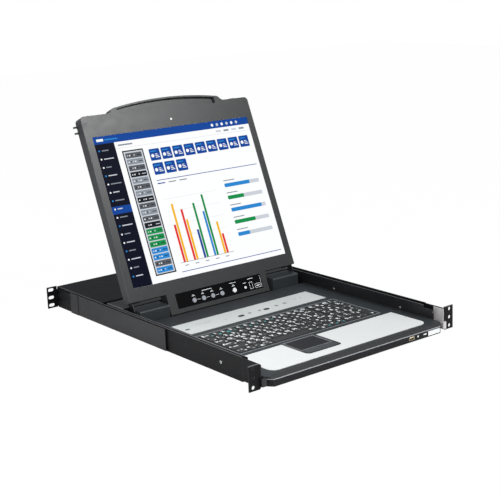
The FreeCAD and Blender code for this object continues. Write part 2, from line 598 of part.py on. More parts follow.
rocker = Piece("power_rocker")
y0, y1 = face + S.rocker_front, face + S.rocker_back
rocker.pad("X", [[(y0, rear_z - S.rocker_half_z), (y1, rear_z - S.rocker_half_z),
                  (y1 - S.frame_wall, rear_z), (y1, rear_z + S.rocker_half_z),
                  (y0, rear_z + S.rocker_half_z)]],
           S.rocker_x - S.rocker_half_x, S.rocker_x + S.rocker_half_x)
rocker.pad("X", [circle(face + S.rocker_front / 2, rear_z, S.rocker_pin)],
           S.rocker_x - well_x + S.rocker_clear, S.rocker_x + well_x - S.rocker_clear)
keep("power_rocker", rocker.body)

# ---------------------------------------------------------------- drawer
tray_inner = S.tray_half - S.sheet
tray_floor = S.tray_low + S.sheet
deck_low = S.deck_top - S.deck_thick

tray = Piece("drawer_tray")
tray.pad("Y", [rect(-S.tray_half, S.tray_half, S.tray_low, tray_floor)], 0, S.tray_back)
for side, _ in SIDES:
    x0, x1 = span(side, tray_inner, S.tray_half)
    tray.pad("Y", [rect(x0, x1, S.tray_low, S.tray_top)], S.tray_front, S.tray_back)
tray.pad("Y", [rect(-S.tray_half, S.tray_half, S.tray_low, S.rear_deck_top - S.sheet)],
         S.tray_back - S.sheet, S.tray_back)
tray.cut("X", [rect(S.tray_front, S.notch_back, S.notch_low, S.tray_top)], -S.tray_half, S.tray_half)
keep("drawer_tray", tray.body)

key_right = S.numpad_left + 4 * S.key_pitch_x - S.key_gap
key_back = S.key_front + 6 * S.key_pitch_y - S.key_gap
opening = rect(S.key_left - S.key_gap, key_right + S.key_gap, S.key_front - S.key_gap,
               key_back + S.key_gap)
well = rect(S.pad_left + S.rib, S.pad_right - S.rib, S.pad_front + S.rib, S.pad_back - S.rib)
button_straight = S.strip_button_half - S.strip_button_radius / 2
button_reach = S.strip_button_radius + S.click_fit
strip_buttons = [slot(side * S.strip_button_x, S.strip_button_y, button_straight, button_reach)
                 for side, _ in SIDES]
strip_windows = [rect(side * S.strip_button_x - button_straight - button_reach,
                      side * S.strip_button_x + button_straight + button_reach,
                      S.strip_button_y - button_reach, S.strip_button_y + button_reach)
                 for side, _ in SIDES]

deck = Piece("deck_plate")
deck.pad("Z", [rect(-tray_inner, tray_inner, 0, S.deck_back)], deck_low, S.deck_top)
for side, _ in SIDES:
    x0, x1 = span(side, tray_inner - S.skirt, tray_inner)
    deck.pad("Z", [rect(x0, x1, S.tray_front, S.deck_back)], tray_floor, deck_low)
deck.pad("Z", [rect(-tray_inner + S.skirt, tray_inner - S.skirt, S.deck_back - S.deck_thick, S.deck_back)],
         tray_floor, deck_low)
deck.pad("Z", [rect(S.key_left - S.plate_margin, key_right + S.plate_margin,
                    S.key_front - S.plate_margin, key_back + S.plate_margin)], S.rib_low, deck_low)
deck.cut("Z", [opening, well] + strip_windows, S.rib_low, S.deck_top)
keep("deck_plate", deck.body)

palm = Piece("palm_rest")
palm.pad("Z", [[(-S.palm_half + S.palm_radius, S.palm_front),
                (S.palm_half - S.palm_radius, S.palm_front, S.palm_radius),
                (S.palm_half, S.palm_front + S.palm_radius), (S.palm_half, S.palm_back),
                (S.pad_right, S.palm_back), (S.pad_right, S.pad_front + S.pad_radius, -S.pad_radius),
                (S.pad_right - S.pad_radius, S.pad_front),
                (S.pad_left + S.pad_radius, S.pad_front, -S.pad_radius),
                (S.pad_left, S.pad_front + S.pad_radius), (S.pad_left, S.palm_back),
                (-S.palm_half, S.palm_back),
                (-S.palm_half, S.palm_front + S.palm_radius, S.palm_radius)]],
         S.deck_top, S.palm_top)
keep("palm_rest", palm.body)

pad_x0, pad_x1 = S.pad_left + S.pad_frame, S.pad_right - S.pad_frame - S.rib
pad_y0, pad_y1 = S.click_back + S.rib, S.pad_back - S.pad_frame
pad_mid = (pad_x0 + pad_x1) / 2
clicks = {"left": (pad_x0, pad_mid - S.click_gap / 2), "right": (pad_mid + S.click_gap / 2, pad_x1)}

surround = Piece("touchpad_bezel")
fit = S.pad_fit
surround.pad("Z", [rect(S.pad_left + fit, S.pad_right - fit, S.pad_front + fit, S.pad_back, S.pad_radius)],
             S.deck_top, S.palm_top)
surround.pad("Z", [rect(S.pad_left + S.rib + fit, S.pad_right - S.rib - fit, S.pad_front + S.rib + fit,
                        S.pad_back - S.rib - fit)], S.pad_bottom, S.deck_top)
surround.cut("Z", [rect(pad_x0, pad_x1, pad_y0, pad_y1)], S.pad_well, S.palm_top)
surround.cut("Z", [rect(x0, x1, S.click_front, S.click_back) for x0, x1 in clicks.values()],
             S.click_well, S.palm_top)
keep("touchpad_bezel", surround.body)

touch = Piece("touchpad_surface")
touch.pad("Z", [rect(pad_x0 + fit, pad_x1 - fit, pad_y0 + fit, pad_y1 - fit)],
          S.pad_well, S.deck_top + fit)
keep("touchpad_surface", touch.body)

for word, (x0, x1) in clicks.items():
    click = Piece(f"touchpad_button_{word}")
    click.pad("Z", [rect(x0 + S.click_fit, x1 - S.click_fit, S.click_front + S.click_fit,
                         S.click_back - S.click_fit)], S.click_low, S.click_top)
    keep(f"touchpad_button_{word}", click.body)

# ---------------------------------------------------------------- keyboard
MAIN_ROWS = (
    (1.25, 1, 1, 1.25, "space", 1, 1, 1, 1, 1),
    (2.25,) + (1,) * 10 + (1.25, 1),
    (1.75,) + (1,) * 11 + (1.75,),
    (1.5,) + (1,) * 13,
    (1,) * 13 + (1.5,),
    (1.5,) + (1,) * 13,
)
NUMPAD_ROWS = ((2, 1), (1, 1, 1), (1, 1, 1, 1), (1, 1, 1, 1), (1, 1, 1, 1), (1, 1, 1, 1))
SPACE_UNITS = 5


def key_cap(tag, left, units, row, rows=1):
    """One key: a tapered cap with a square stem that runs in the row's guide slot."""
    width = units * S.key_pitch_x - S.key_gap
    depth = rows * S.key_pitch_y - S.key_gap
    front = S.key_front + row * S.key_pitch_y
    draft = S.key_draft
    cap = doc.addObject("Part::Wedge", f"{tag}_cap")
    cap.Placement = FreeCAD.Placement(V(), FreeCAD.Rotation(V(1, 0, 0), 90))
    bind(cap, Xmax=width, X2min=draft, X2max=width - draft, Ymax=S.key_height, Zmax=depth,
         Z2min=draft, Z2max=depth - draft, Xmin=0, Ymin=0, Zmin=0,
         Base_x=left, Base_y=front + depth, Base_z=S.key_top - S.key_height)
    x, y, half = left + width / 2, front + depth / 2, S.stem / 2
    low, high = S.key_top - S.key_height - S.stem_length, S.key_top - S.key_height
    stem = block(f"{tag}_stem", x - half, x + half, y - half, y + half, low, high)
    return [cap, stem]


def key_row(tag, number, units_list, left):
    """Caps and stems of one row, from left to right; the space bar is kept apart."""
    made, bar = [], []
    for place, units in enumerate(units_list):
        wide = SPACE_UNITS if units == "space" else units
        made_here = key_cap(f"{tag}_{number}_{place}", left, wide, number)
        (bar if units == "space" else made).extend(made_here)
        left = left + wide * S.key_pitch_x
    return made, bar


for number, units_list in enumerate(MAIN_ROWS):
    caps, bar = key_row("key", number, units_list, S.key_left)
    caps += key_row("pad", number, NUMPAD_ROWS[number], S.numpad_left)[0]
    if number == 0:
        caps += key_cap("pad_tall", S.numpad_left + 3 * S.key_pitch_x, 1, 0, 2)
    name = f"key_row_{number + 1}"
    keep(name, together(name, caps, "Part::MultiFuse"))
    if bar:
        keep("space_bar", together("space_bar", bar, "Part::MultiFuse"))

base = Piece("keyboard_base")
base.pad("Z", [rect(S.key_left - S.plate_margin, key_right + S.plate_margin,
                    S.key_front - S.plate_margin, key_back + S.plate_margin)],
         S.rib_low - S.base_thick, S.rib_low)
row_middle = (S.key_pitch_y - S.key_gap) / 2
guide = S.stem / 2 + S.stem_fit
guides = [rect(S.key_left, key_right, middle - guide, middle + guide)
          for middle in [S.key_front + step * S.key_pitch_y + row_middle for step in range(6)]]
tall_x = S.numpad_left + 3 * S.key_pitch_x + (S.key_pitch_x - S.key_gap) / 2
tall_y = S.key_front + S.key_pitch_y - S.key_gap / 2
guides.append(rect(tall_x - guide, tall_x + guide, tall_y - guide, tall_y + guide))
base.cut("Z", guides, S.rib_low - S.base_thick, S.rib_low)
keep("keyboard_base", base.body)

# ---------------------------------------------------------------- indicator strip
strip_top = S.deck_top + S.strip_thick
strip = Piece("indicator_strip")
strip.pad("Z", [rect(-S.strip_half, S.strip_half, S.strip_front, S.strip_back)]
          + strip_buttons, S.deck_top, strip_top)
keep("indicator_strip", strip.body)

lights = Piece("front_lamp")
lights.pad("Y", [circle(S.front_lamp_x, S.port_z, S.front_lamp_radius)],
           S.bezel_front, S.bezel_front + S.port_depth)
keep("front_lamp", lights.body)

for side, word in SIDES:
    button = Piece(f"strip_button_{word}")
    button.pad("Z", [slot(side * S.strip_button_x, S.strip_button_y, button_straight,
                          S.strip_button_radius)], S.strip_button_low, S.strip_button_top)
    keep(f"strip_button_{word}", button.body)

# ---------------------------------------------------------------- front bezel
bezel = Piece("front_bezel")
face_half = S.bezel_half - S.bezel_corner
bezel.pad("Z", [[(-S.bezel_half, 0), (-face_half, S.bezel_front), (face_half, S.bezel_front),
                 (S.bezel_half, 0)]], S.tray_low, S.deck_top)
bezel.pad("Z", [rect(-S.bezel_half, S.bezel_half, 0, S.tray_front)], tray_floor, deck_low)
bezel.cut("X", [[(S.bezel_front, S.bezel_slope_z), (S.bezel_slope_y, S.deck_top),
                 (S.bezel_front, S.deck_top)],
                rect(S.bezel_front, S.bezel_front + S.bezel_groove, S.bezel_slope_z - 2 * S.bezel_groove,
                     S.bezel_slope_z - S.bezel_groove)], -S.bezel_half, S.bezel_half)
bezel.cut("Y", [rect(S.port_x - S.port_half_x, S.port_x + S.port_half_x,
                     S.port_z - S.port_half_z, S.port_z + S.port_half_z),
                circle(S.front_lamp_x, S.port_z, S.front_lamp_radius)],
          S.bezel_front, S.tray_front)
keep("front_bezel", bezel.body)

port = Piece("front_port")
grow = S.port_wall
port.pad("Y", [rect(S.port_x - S.port_half_x, S.port_x + S.port_half_x, S.port_z - S.port_half_z,
                    S.port_z + S.port_half_z)], S.bezel_front, S.bezel_front + S.port_depth)
port.cut("Y", [rect(S.port_x - S.port_half_x + grow, S.port_x + S.port_half_x - grow,
                    S.port_z - S.port_half_z + grow, S.port_z + S.port_half_z - grow)],
         S.bezel_front, S.bezel_front + S.port_depth - grow)
port.pad("Y", [rect(S.port_x - S.port_half_x + 3 * grow, S.port_x + S.port_half_x - 3 * grow,
                    S.port_z, S.port_z + S.port_half_z - 2 * grow)],
         S.bezel_front + grow, S.bezel_front + S.port_depth - grow)
keep("front_port", port.body)

# ---------------------------------------------------------------- rear deck and hinge
cover = Piece("rear_deck")
cover.pad("Z", [rect(-tray_inner, tray_inner, S.rear_deck_front, S.tray_back)],
          S.rear_deck_top - S.sheet, S.rear_deck_top)
cover.pad("Z", [rect(-tray_inner, tray_inner, S.rear_deck_front, S.rear_deck_front + S.sheet)],
          tray_floor, S.rear_deck_top - S.sheet)
keep("rear_deck", cover.body)

bearings = Piece("hinge_bearings")
bore = circle(S.hinge_y, S.hinge_z, S.shaft_radius + S.shaft_clear)
saddle = S.shaft_radius + S.shaft_clear
notch = [(S.hinge_y - saddle, tray_floor), (S.hinge_y + saddle, tray_floor),
         (S.hinge_y + saddle, S.hinge_z, saddle * 1.0001), (S.hinge_y - saddle, S.hinge_z)]
wall = S.cover_wall
for side, word in SIDES:
    housing_cover = Piece(f"hinge_cover_{word}")
    x0, x1 = span(side, S.cover_inner, S.cover_outer)
    housing_cover.pad("X", [[(S.cover_front, tray_floor), (S.cover_back, tray_floor),
                             (S.cover_back, S.cover_top),
                             (S.cover_front + S.cover_round, S.cover_top, S.cover_round),
                             (S.cover_front, S.cover_top - S.cover_round)]], x0, x1)
    housing_cover.cut("Z", [rect(x0 + wall, x1 - wall, S.cover_front + wall, S.cover_back - wall)],
                      tray_floor, S.cover_top - wall)
    housing_cover.cut("X", [notch], x0, x1)
    keep(f"hinge_cover_{word}", housing_cover.body)
    x0, x1 = span(side, S.bearing_inner - S.bearing_foot, S.bearing_outer + S.bearing_foot)
    base_half = 1.6 * S.bearing_half
    bearings.pad("Z", [rect(x0, x1, S.hinge_y - base_half, S.hinge_y + base_half)],
                 tray_floor, tray_floor + S.bearing_base)
    x0, x1 = span(side, S.bearing_inner, S.bearing_outer)
    bearings.pad("X", [rect(S.hinge_y - S.bearing_half, S.hinge_y + S.bearing_half,
                            tray_floor + S.bearing_base, S.bearing_top)], x0, x1)
bearings.cut("X", [bore], -S.bearing_outer, S.bearing_outer)
keep("hinge_bearings", bearings.body)

# ---------------------------------------------------------------- display, upright about the hinge
bezel_back = S.face + S.bezel_thick
shell_inside = S.display_back - S.shell_wall


def arch(half, side, rise):
    """A bowed top edge from right to left, and the corner where it ends."""
    return [(half, side, (half * half + rise * rise) / (2 * rise)), (-half, side)]


def display_outline(inset):
    """The display seen from the front, every edge moved in by the inset."""
    half, side = S.tongue_half - inset, S.display_half - inset
    top, low, notch = S.shoulder - inset, S.tongue_low + inset, S.notch_top + inset
    root, reach, high = S.handle_root - inset, S.handle_half - inset, S.handle_side - inset
    run, climb = (root - reach) / 2, (high - top) / 2
    bend = (run * run + climb * climb) / (2 * climb)
    corner = S.shoulder_round
    return [(half, low), (half, notch), (side, notch), (side, top - corner, corner), (side - corner, top),
            (root, top, -bend), (root - run, top + climb, bend)] + arch(reach, high, S.handle_rise)[:1] + [
            (-reach, high, bend), (-root + run, top + climb, -bend), (-root, top),
            (-side + corner, top, corner), (-side, top - corner), (-side, notch), (-half, notch),
            (-half, low)]


back_shell = Piece("display_shell")
back_shell.pad("Y", [display_outline(size(0))], bezel_back, S.display_back)
back_shell.cut("Y", [display_outline(S.shell_wall)], bezel_back, shell_inside)
bolt_hole = S.bolt_half + S.catch_fit
bolt_windows = [rect(S.bolt_back - bolt_hole, S.bolt_back + bolt_hole, height - bolt_hole, height + bolt_hole)
                for height in (S.bolt_low, S.bolt_high)]
for side, _ in SIDES:
    x0, x1 = span(side, S.display_half - 2 * S.shell_wall, S.display_half)
    back_shell.cut("X", bolt_windows, x0, x1)
    x0, x1 = span(side, S.finger_inner - S.catch_travel - S.catch_fit, S.finger_outer + S.catch_fit)
    back_shell.cut("Z", [rect(x0, x1, S.finger_front - S.catch_fit, S.finger_end + S.catch_fit)],
                   S.shoulder - 2 * S.shell_wall, S.shoulder)
    x0, x1 = span(side, S.tongue_half - S.shell_wall, S.tongue_half)
    back_shell.cut("X", [rect(-S.shaft_radius, S.shaft_radius, -S.shaft_radius, S.shaft_radius)], x0, x1)
keep_standing("display_shell", back_shell.body)

screen_top = S.screen_low + S.screen_height
osd = rect(S.osd_left, S.osd_right, S.osd_low, S.osd_top)
front = Piece("display_bezel")
front.pad("Y", [display_outline(size(0))], S.face, bezel_back)
grow = S.grip_wall
outer = S.grip_half + grow
front.pad("Y", [[(-outer, S.grip_low - grow), (outer, S.grip_low - grow)]
                + arch(outer, S.grip_side + grow / 2, S.grip_rise)], bezel_back, S.face + S.grip_depth + grow)
front.cut("Y", [[(-S.grip_half, S.grip_low), (S.grip_half, S.grip_low)]
                + arch(S.grip_half, S.grip_side, S.grip_rise)], S.face, S.face + S.grip_depth)
front.cut("Y", [rect(-S.screen_half, S.screen_half, S.screen_low, screen_top), osd,
                circle(0, S.top_lamp_height, S.top_lamp_radius)], S.face, bezel_back)
keep_standing("display_bezel", front.body)

module = Piece("display_module")
margin = S.module_margin
module.pad("Y", [rect(-S.screen_half - margin, S.screen_half + margin, S.screen_low - margin,
                      screen_top + margin)], bezel_back, bezel_back + S.module_thick)
keep_standing("display_module", module.body)

glass = Piece("screen_glass")
fit = S.glass_fit
glass.pad("Y", [rect(-S.screen_half + fit, S.screen_half - fit, S.screen_low + fit, screen_top - fit)],
          bezel_back - S.glass_thick, bezel_back)
keep_standing("screen_glass", glass.body)

knobs = [S.knob_first + step * S.knob_pitch for step in range(4)] + [S.power_knob_x]
panel = Piece("osd_panel")
flange = S.osd_flange
panel.pad("Y", [rect(S.osd_left + fit, S.osd_right - fit, S.osd_low + fit, S.osd_top - fit)],
          S.face + S.osd_recess, bezel_back)
panel.pad("Y", [rect(S.osd_left - flange, S.osd_right + flange, S.osd_low - flange, S.osd_top + flange)],
          bezel_back, S.osd_back)
panel.cut("Y", [circle(x, S.knob_height, S.knob_radius + S.knob_fit) for x in knobs]
          + [circle(S.osd_lamp_x, S.knob_height, S.osd_lamp_radius)], S.face, S.osd_back)
keep_standing("osd_panel", panel.body)

for number, x in enumerate(knobs):
    name = f"osd_button_{number + 1}" if number < 4 else "display_power_button"
    knob = Piece(name)
    knob.pad("Y", [circle(x, S.knob_height, S.knob_radius)], S.face - S.knob_proud, S.knob_back)
    keep_standing(name, knob.body)

lens = Piece("display_lights")
lens.pad("Y", [circle(S.osd_lamp_x, S.knob_height, S.osd_lamp_radius)], S.face, S.osd_back)
lens.pad("Y", [circle(0, S.top_lamp_height, S.top_lamp_radius)], S.face, bezel_back)
keep_standing("display_lights", lens.body)

shafts = Piece("hinge_shafts")
for side, _ in SIDES:
    x0, x1 = span(side, S.shaft_inner, S.shaft_outer)
    shafts.pad("X", [circle(0, 0, S.shaft_radius)], x0, x1)
    x0, x1 = span(side, S.shaft_inner, S.leaf_outer)
    shafts.pad("X", [rect(-S.shaft_radius, shell_inside, -S.shaft_radius, S.shaft_radius)], x0, x1)
    x0, x1 = span(side, S.leaf_inner, S.leaf_outer)
    shafts.pad("X", [rect(shell_inside - S.leaf_thick, shell_inside, S.leaf_low, S.leaf_top)], x0, x1)
    x0, x1 = span(side, S.arm_plate, S.arm_plate + S.arm_sheet)
    shafts.pad("X", [[(-S.arm_round, 0, S.arm_round * 1.0001), (S.arm_round, 0),
                      (S.arm_foot_back, S.notch_top), (S.arm_foot_front, S.notch_top)]], x0, x1)
    x0, x1 = span(side, S.arm_plate + S.arm_sheet - S.arm_foot, S.arm_plate + S.arm_sheet)
    shafts.pad("X", [rect(S.arm_foot_front, S.arm_foot_back, S.notch_top - S.arm_sheet, S.notch_top)], x0, x1)
keep_standing("hinge_shafts", shafts.body)

for side, word in SIDES:
    catch = Piece(f"display_catch_{word}")
    x0, x1 = span(side, S.catch_inner, S.catch_outer)
    catch.pad("Y", [rect(x0, x1, S.catch_low, S.catch_top)], S.catch_front, S.catch_end)
    x0, x1 = span(side, S.finger_inner, S.finger_outer)
    catch.pad("Z", [rect(x0, x1, S.finger_front, S.finger_end)], S.catch_top - S.shell_wall, S.finger_top)
    bolt_face, bolt_rear = S.bolt_back - S.bolt_half, S.bolt_back + S.bolt_half
    tongue = [(S.catch_inner, bolt_face), (S.bolt_tip - S.bolt_bevel, bolt_face),
              (S.bolt_tip, bolt_face + S.bolt_bevel), (S.bolt_tip, bolt_rear), (S.catch_inner, bolt_rear)]
    for height in (S.bolt_low, S.bolt_high):
        catch.pad("Z", [sided(side, tongue)], height - S.bolt_half, height + S.bolt_half)
    keep_standing(f"display_catch_{word}", catch.body)

# ---------------------------------------------------------------- checks and export
doc.recompute()
faults = [item.Name for item in doc.Objects if {"Invalid", "Error"} & set(item.State)]
faults += [name for name, item in parts.items() if item.Shape.isNull() or not item.Shape.isValid()]
if faults:
    raise RuntimeError("not built: " + ", ".join(faults))
os.makedirs("parts", exist_ok=True)
for name, item in parts.items():
    item.Shape.exportStep(f"parts/{name}.step")
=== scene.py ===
"""Looks for the rackmount LCD console drawer: finishes, legends, screen page, screws, light and camera.

Metres, in the CAD frame: +X right, +Y back, +Z up, origin in the middle of the front rack holes.
"""
import bpy
import bmesh
import json
import math
from mathutils import Matrix, Vector


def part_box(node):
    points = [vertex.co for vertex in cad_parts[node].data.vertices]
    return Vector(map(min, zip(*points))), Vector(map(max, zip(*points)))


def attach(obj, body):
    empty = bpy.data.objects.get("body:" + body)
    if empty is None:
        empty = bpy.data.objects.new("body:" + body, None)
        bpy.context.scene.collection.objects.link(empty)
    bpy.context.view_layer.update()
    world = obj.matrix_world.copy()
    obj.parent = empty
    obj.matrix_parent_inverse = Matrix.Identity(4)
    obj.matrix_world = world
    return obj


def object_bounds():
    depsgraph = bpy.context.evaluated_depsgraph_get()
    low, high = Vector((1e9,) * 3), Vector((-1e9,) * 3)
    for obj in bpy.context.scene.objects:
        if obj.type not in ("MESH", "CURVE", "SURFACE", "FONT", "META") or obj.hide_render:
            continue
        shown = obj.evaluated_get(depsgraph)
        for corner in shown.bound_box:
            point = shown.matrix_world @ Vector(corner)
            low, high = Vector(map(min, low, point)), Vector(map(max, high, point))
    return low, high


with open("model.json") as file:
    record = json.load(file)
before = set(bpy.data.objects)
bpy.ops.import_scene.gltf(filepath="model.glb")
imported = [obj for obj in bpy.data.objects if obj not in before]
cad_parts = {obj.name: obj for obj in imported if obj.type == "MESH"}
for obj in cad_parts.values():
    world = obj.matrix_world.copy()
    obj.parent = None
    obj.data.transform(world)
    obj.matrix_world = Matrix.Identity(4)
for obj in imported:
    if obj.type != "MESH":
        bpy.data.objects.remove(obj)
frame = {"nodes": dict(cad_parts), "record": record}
cad_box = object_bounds()

MM = 0.001
NODES = frame["nodes"]
HINGE = next(joint for joint in frame["record"]["behaviour"]["joints"] if joint["name"] == "display_hinge")
UPRIGHT_TO_SHUT = 90.0
LEAN = math.radians(HINGE["range_deg"][1] - UPRIGHT_TO_SHUT)
# Display frame: x right, y into the display, z up along its face, origin on the hinge axis.
DISPLAY = Matrix.Translation(HINGE["pos_m"]) @ Matrix.Rotation(-LEAN, 4, "X")
FLAT = Matrix.Identity(4)


# ---------------------------------------------------------------- materials
RUB_AND_HIGHLIGHT_REACH = 0.9 * MM
# How far an edge's normal turns (as a cosine) before the rubbed edge and its painted highlight start, and
# where they are full.
RUB_AND_HIGHLIGHT_STARTS, RUB_AND_HIGHLIGHT_FULL = 0.985, 0.86
# The colour of a rubbed edge with its painted highlight is this many times the finish's own, plus so much
# more for each unit of wear and highlight.
RUBBED_AND_HIGHLIT_LIGHTER, RUBBED_AND_HIGHLIT_GAIN = 3.0, 12.0


def srgb(red, green, blue):
    """A colour as seen on a screen, 0 to 255, as the linear colour that a shader takes."""
    def linear(value):
        value /= 255.0
        return value / 12.92 if value <= 0.04045 else ((value + 0.055) / 1.055) ** 2.4
    return (linear(red), linear(green), linear(blue), 1.0)


def scaled(colour, factor):
    """A lighter or darker colour."""
    return tuple(min(1.0, value * factor) for value in colour[:3]) + (1.0,)


class Finish:
    """A node-based material: a base shader with helpers for texture, colour and bump."""

    def __init__(self, name, roughness=0.5, metallic=0.0, **sockets):
        self.material = bpy.data.materials.new(name)
        self.material.use_nodes = True
        self.tree = self.material.node_tree
        self.shader = self.tree.nodes["Principled BSDF"]
        self.shader.inputs["Roughness"].default_value = roughness
        self.shader.inputs["Metallic"].default_value = metallic
        for socket, value in sockets.items():
            self.shader.inputs[socket.replace("_", " ")].default_value = value
        self.place = self.node("ShaderNodeTexCoord").outputs["Object"]
        self.last_bump = None

    def node(self, kind, **values):
        made = self.tree.nodes.new(kind)
        for name, value in values.items():
            setattr(made, name, value)
        return made

    def link(self, start, end):
        self.tree.links.new(start, end)

    def noise(self, scale, detail=3.0, stretch=(1, 1, 1), roughness=0.55):
        """Noise over the piece; scale is in features a metre."""
        mapping = self.node("ShaderNodeMapping")
        mapping.inputs["Scale"].default_value = stretch
        self.link(self.place, mapping.inputs["Vector"])
        texture = self.node("ShaderNodeTexNoise")
        texture.inputs["Scale"].default_value = scale
        texture.inputs["Detail"].default_value = detail
        texture.inputs["Roughness"].default_value = roughness
        self.link(mapping.outputs["Vector"], texture.inputs["Vector"])
        return texture.outputs["Fac"]

    def ramp(self, source, stops):
        """Colours at places along a 0 to 1 value."""
        made = self.node("ShaderNodeValToRGB")
        points = made.color_ramp.elements
        while len(points) < len(stops):
            points.new(0.5)
        for point, (place, colour) in zip(points, stops):
            point.position = place
            point.color = colour
        self.link(source, made.inputs["Fac"])
        return made.outputs["Color"]

    def colour(self, source, stops):
        self.link(self.ramp(source, stops), self.shader.inputs["Base Color"])
        return self

    def cloudy(self, colour, spread, scale, detail):
        """The base colour, a little darker and a little lighter in clouds."""
        stops = [(0.3, scaled(colour, 1 - spread)), (0.7, scaled(colour, 1 + spread))]
        return self.colour(self.noise(scale, detail), stops)

    def layer(self, mask, over):
        """Lay another base colour over the finish where the mask is 1."""
        under = self.shader.inputs["Base Color"].links[0].from_socket
        mix = self.node("ShaderNodeMix", data_type="RGBA")
        mix.inputs["B"].default_value = over
        self.link(mask, mix.inputs["Factor"])
        self.link(under, mix.inputs["A"])
        self.link(mix.outputs["Result"], self.shader.inputs["Base Color"])
        return self

    def beyond(self, axis, limit, below=False, both_sides=False):
        """1 where the object coordinate, or its distance from the middle, passes the limit, else 0."""
        parted = self.node("ShaderNodeSeparateXYZ")
        self.link(self.place, parted.inputs["Vector"])
        value = parted.outputs[axis]
        if both_sides:
            distance = self.node("ShaderNodeMath", operation="ABSOLUTE")
            self.link(value, distance.inputs[0])
            value = distance.outputs["Value"]
        test = self.node("ShaderNodeMath", operation="LESS_THAN" if below else "GREATER_THAN")
        test.inputs[1].default_value = limit
        self.link(value, test.inputs[0])
        return test.outputs["Value"]

    def both(self, one, other):
        """The product of two masks."""
        product = self.node("ShaderNodeMath", operation="MULTIPLY")
        self.link(one, product.inputs[0])
        self.link(other, product.inputs[1])
        return product.outputs["Value"]

    def rub_and_highlight_edges(self, over, amount):
        """Rub the finish lighter along outer edges, unevenly: edge wear, and a painted highlight along the
        edges.
        """
        bevel = self.node("ShaderNodeBevel", samples=4)
        bevel.inputs["Radius"].default_value = RUB_AND_HIGHLIGHT_REACH
        turn = self.node("ShaderNodeVectorMath", operation="DOT_PRODUCT")
        self.link(bevel.outputs["Normal"], turn.inputs[0])
        self.link(self.node("ShaderNodeNewGeometry").outputs["Normal"], turn.inputs[1])
        edge = self.node("ShaderNodeMapRange")
        for socket, value in (("From Min", RUB_AND_HIGHLIGHT_STARTS), ("From Max", RUB_AND_HIGHLIGHT_FULL), ("To Max", 0.5 + amount)):
            edge.inputs[socket].default_value = value
        self.link(turn.outputs["Value"], edge.inputs["Value"])
        return self.layer(self.both(edge.outputs["Result"], self.noise(120.0, 4.0)), over)

    def rough(self, source, low, high):
        spread = self.node("ShaderNodeMapRange")
        spread.inputs["To Min"].default_value = low
        spread.inputs["To Max"].default_value = high
        self.link(source, spread.inputs["Value"])
        self.link(spread.outputs["Result"], self.shader.inputs["Roughness"])
        return self

    def bump(self, source, depth, strength=0.4):
        """Relief of the given depth, on top of any relief already there."""
        made = self.node("ShaderNodeBump")
        made.inputs["Strength"].default_value = strength
        made.inputs["Distance"].default_value = depth
        self.link(source, made.inputs["Height"])
        if self.last_bump:
            self.link(self.last_bump, made.inputs["Normal"])
        self.link(made.outputs["Normal"], self.shader.inputs["Normal"])
        self.last_bump = made.outputs["Normal"]
        return self


def grained(name, colour, roughness=0.5, spread=0.12, grain=1400.0, depth=0.12 * MM, strength=0.35,
            wear_and_highlight=0.0, **sockets):
    """Powder coat or moulded plastic: fine grain, cloudy shade, uneven sheen, edges rubbed lighter with a
    painted highlight.
    """
    made = Finish(name, roughness, **sockets)
    made.cloudy(colour, spread, 9.0, 4.0)
    made.rough(made.noise(60.0, 5.0), roughness - 0.06, roughness + 0.06)
    made.bump(made.noise(grain, 2.0), depth, strength)
    if wear_and_highlight:
        made.rub_and_highlight_edges(scaled(colour, RUBBED_AND_HIGHLIT_LIGHTER + RUBBED_AND_HIGHLIT_GAIN * wear_and_highlight), wear_and_highlight)
    return made


def brushed(name, colour, along, roughness=0.3, spread=0.1, metallic=1.0):
    """Metal with fine lines along one axis, 0 for X and 1 for Y."""
    stretch = [1.0, 1.0, 1.0]
    stretch[along] = 0.03
    made = Finish(name, roughness, metallic)
    lines = made.noise(2600.0, 3.0, stretch)
    made.cloudy(colour, spread, 25.0, 5.0)
    made.rough(lines, roughness - 0.08, roughness + 0.12)
    made.bump(lines, 0.04 * MM, 0.3)
    return made


def plain(name, colour, roughness=0.5, spread=0.05, **sockets):
    """A smooth finish with only a faint cloudiness."""
    made = Finish(name, roughness, **sockets)
    made.cloudy(colour, spread, 40.0, 3.0)
    made.bump(made.noise(500.0, 2.0), 0.02 * MM, 0.15)
    return made


def glowing(name, colour, strength):
    """Lit pixels behind the screen's dark, slightly glossy surface."""
    made = plain(name, srgb(5, 5, 6), 0.5, Specular_IOR_Level=0.04)
    made.shader.inputs["Emission Color"].default_value = colour
    made.shader.inputs["Emission Strength"].default_value = strength
    return made


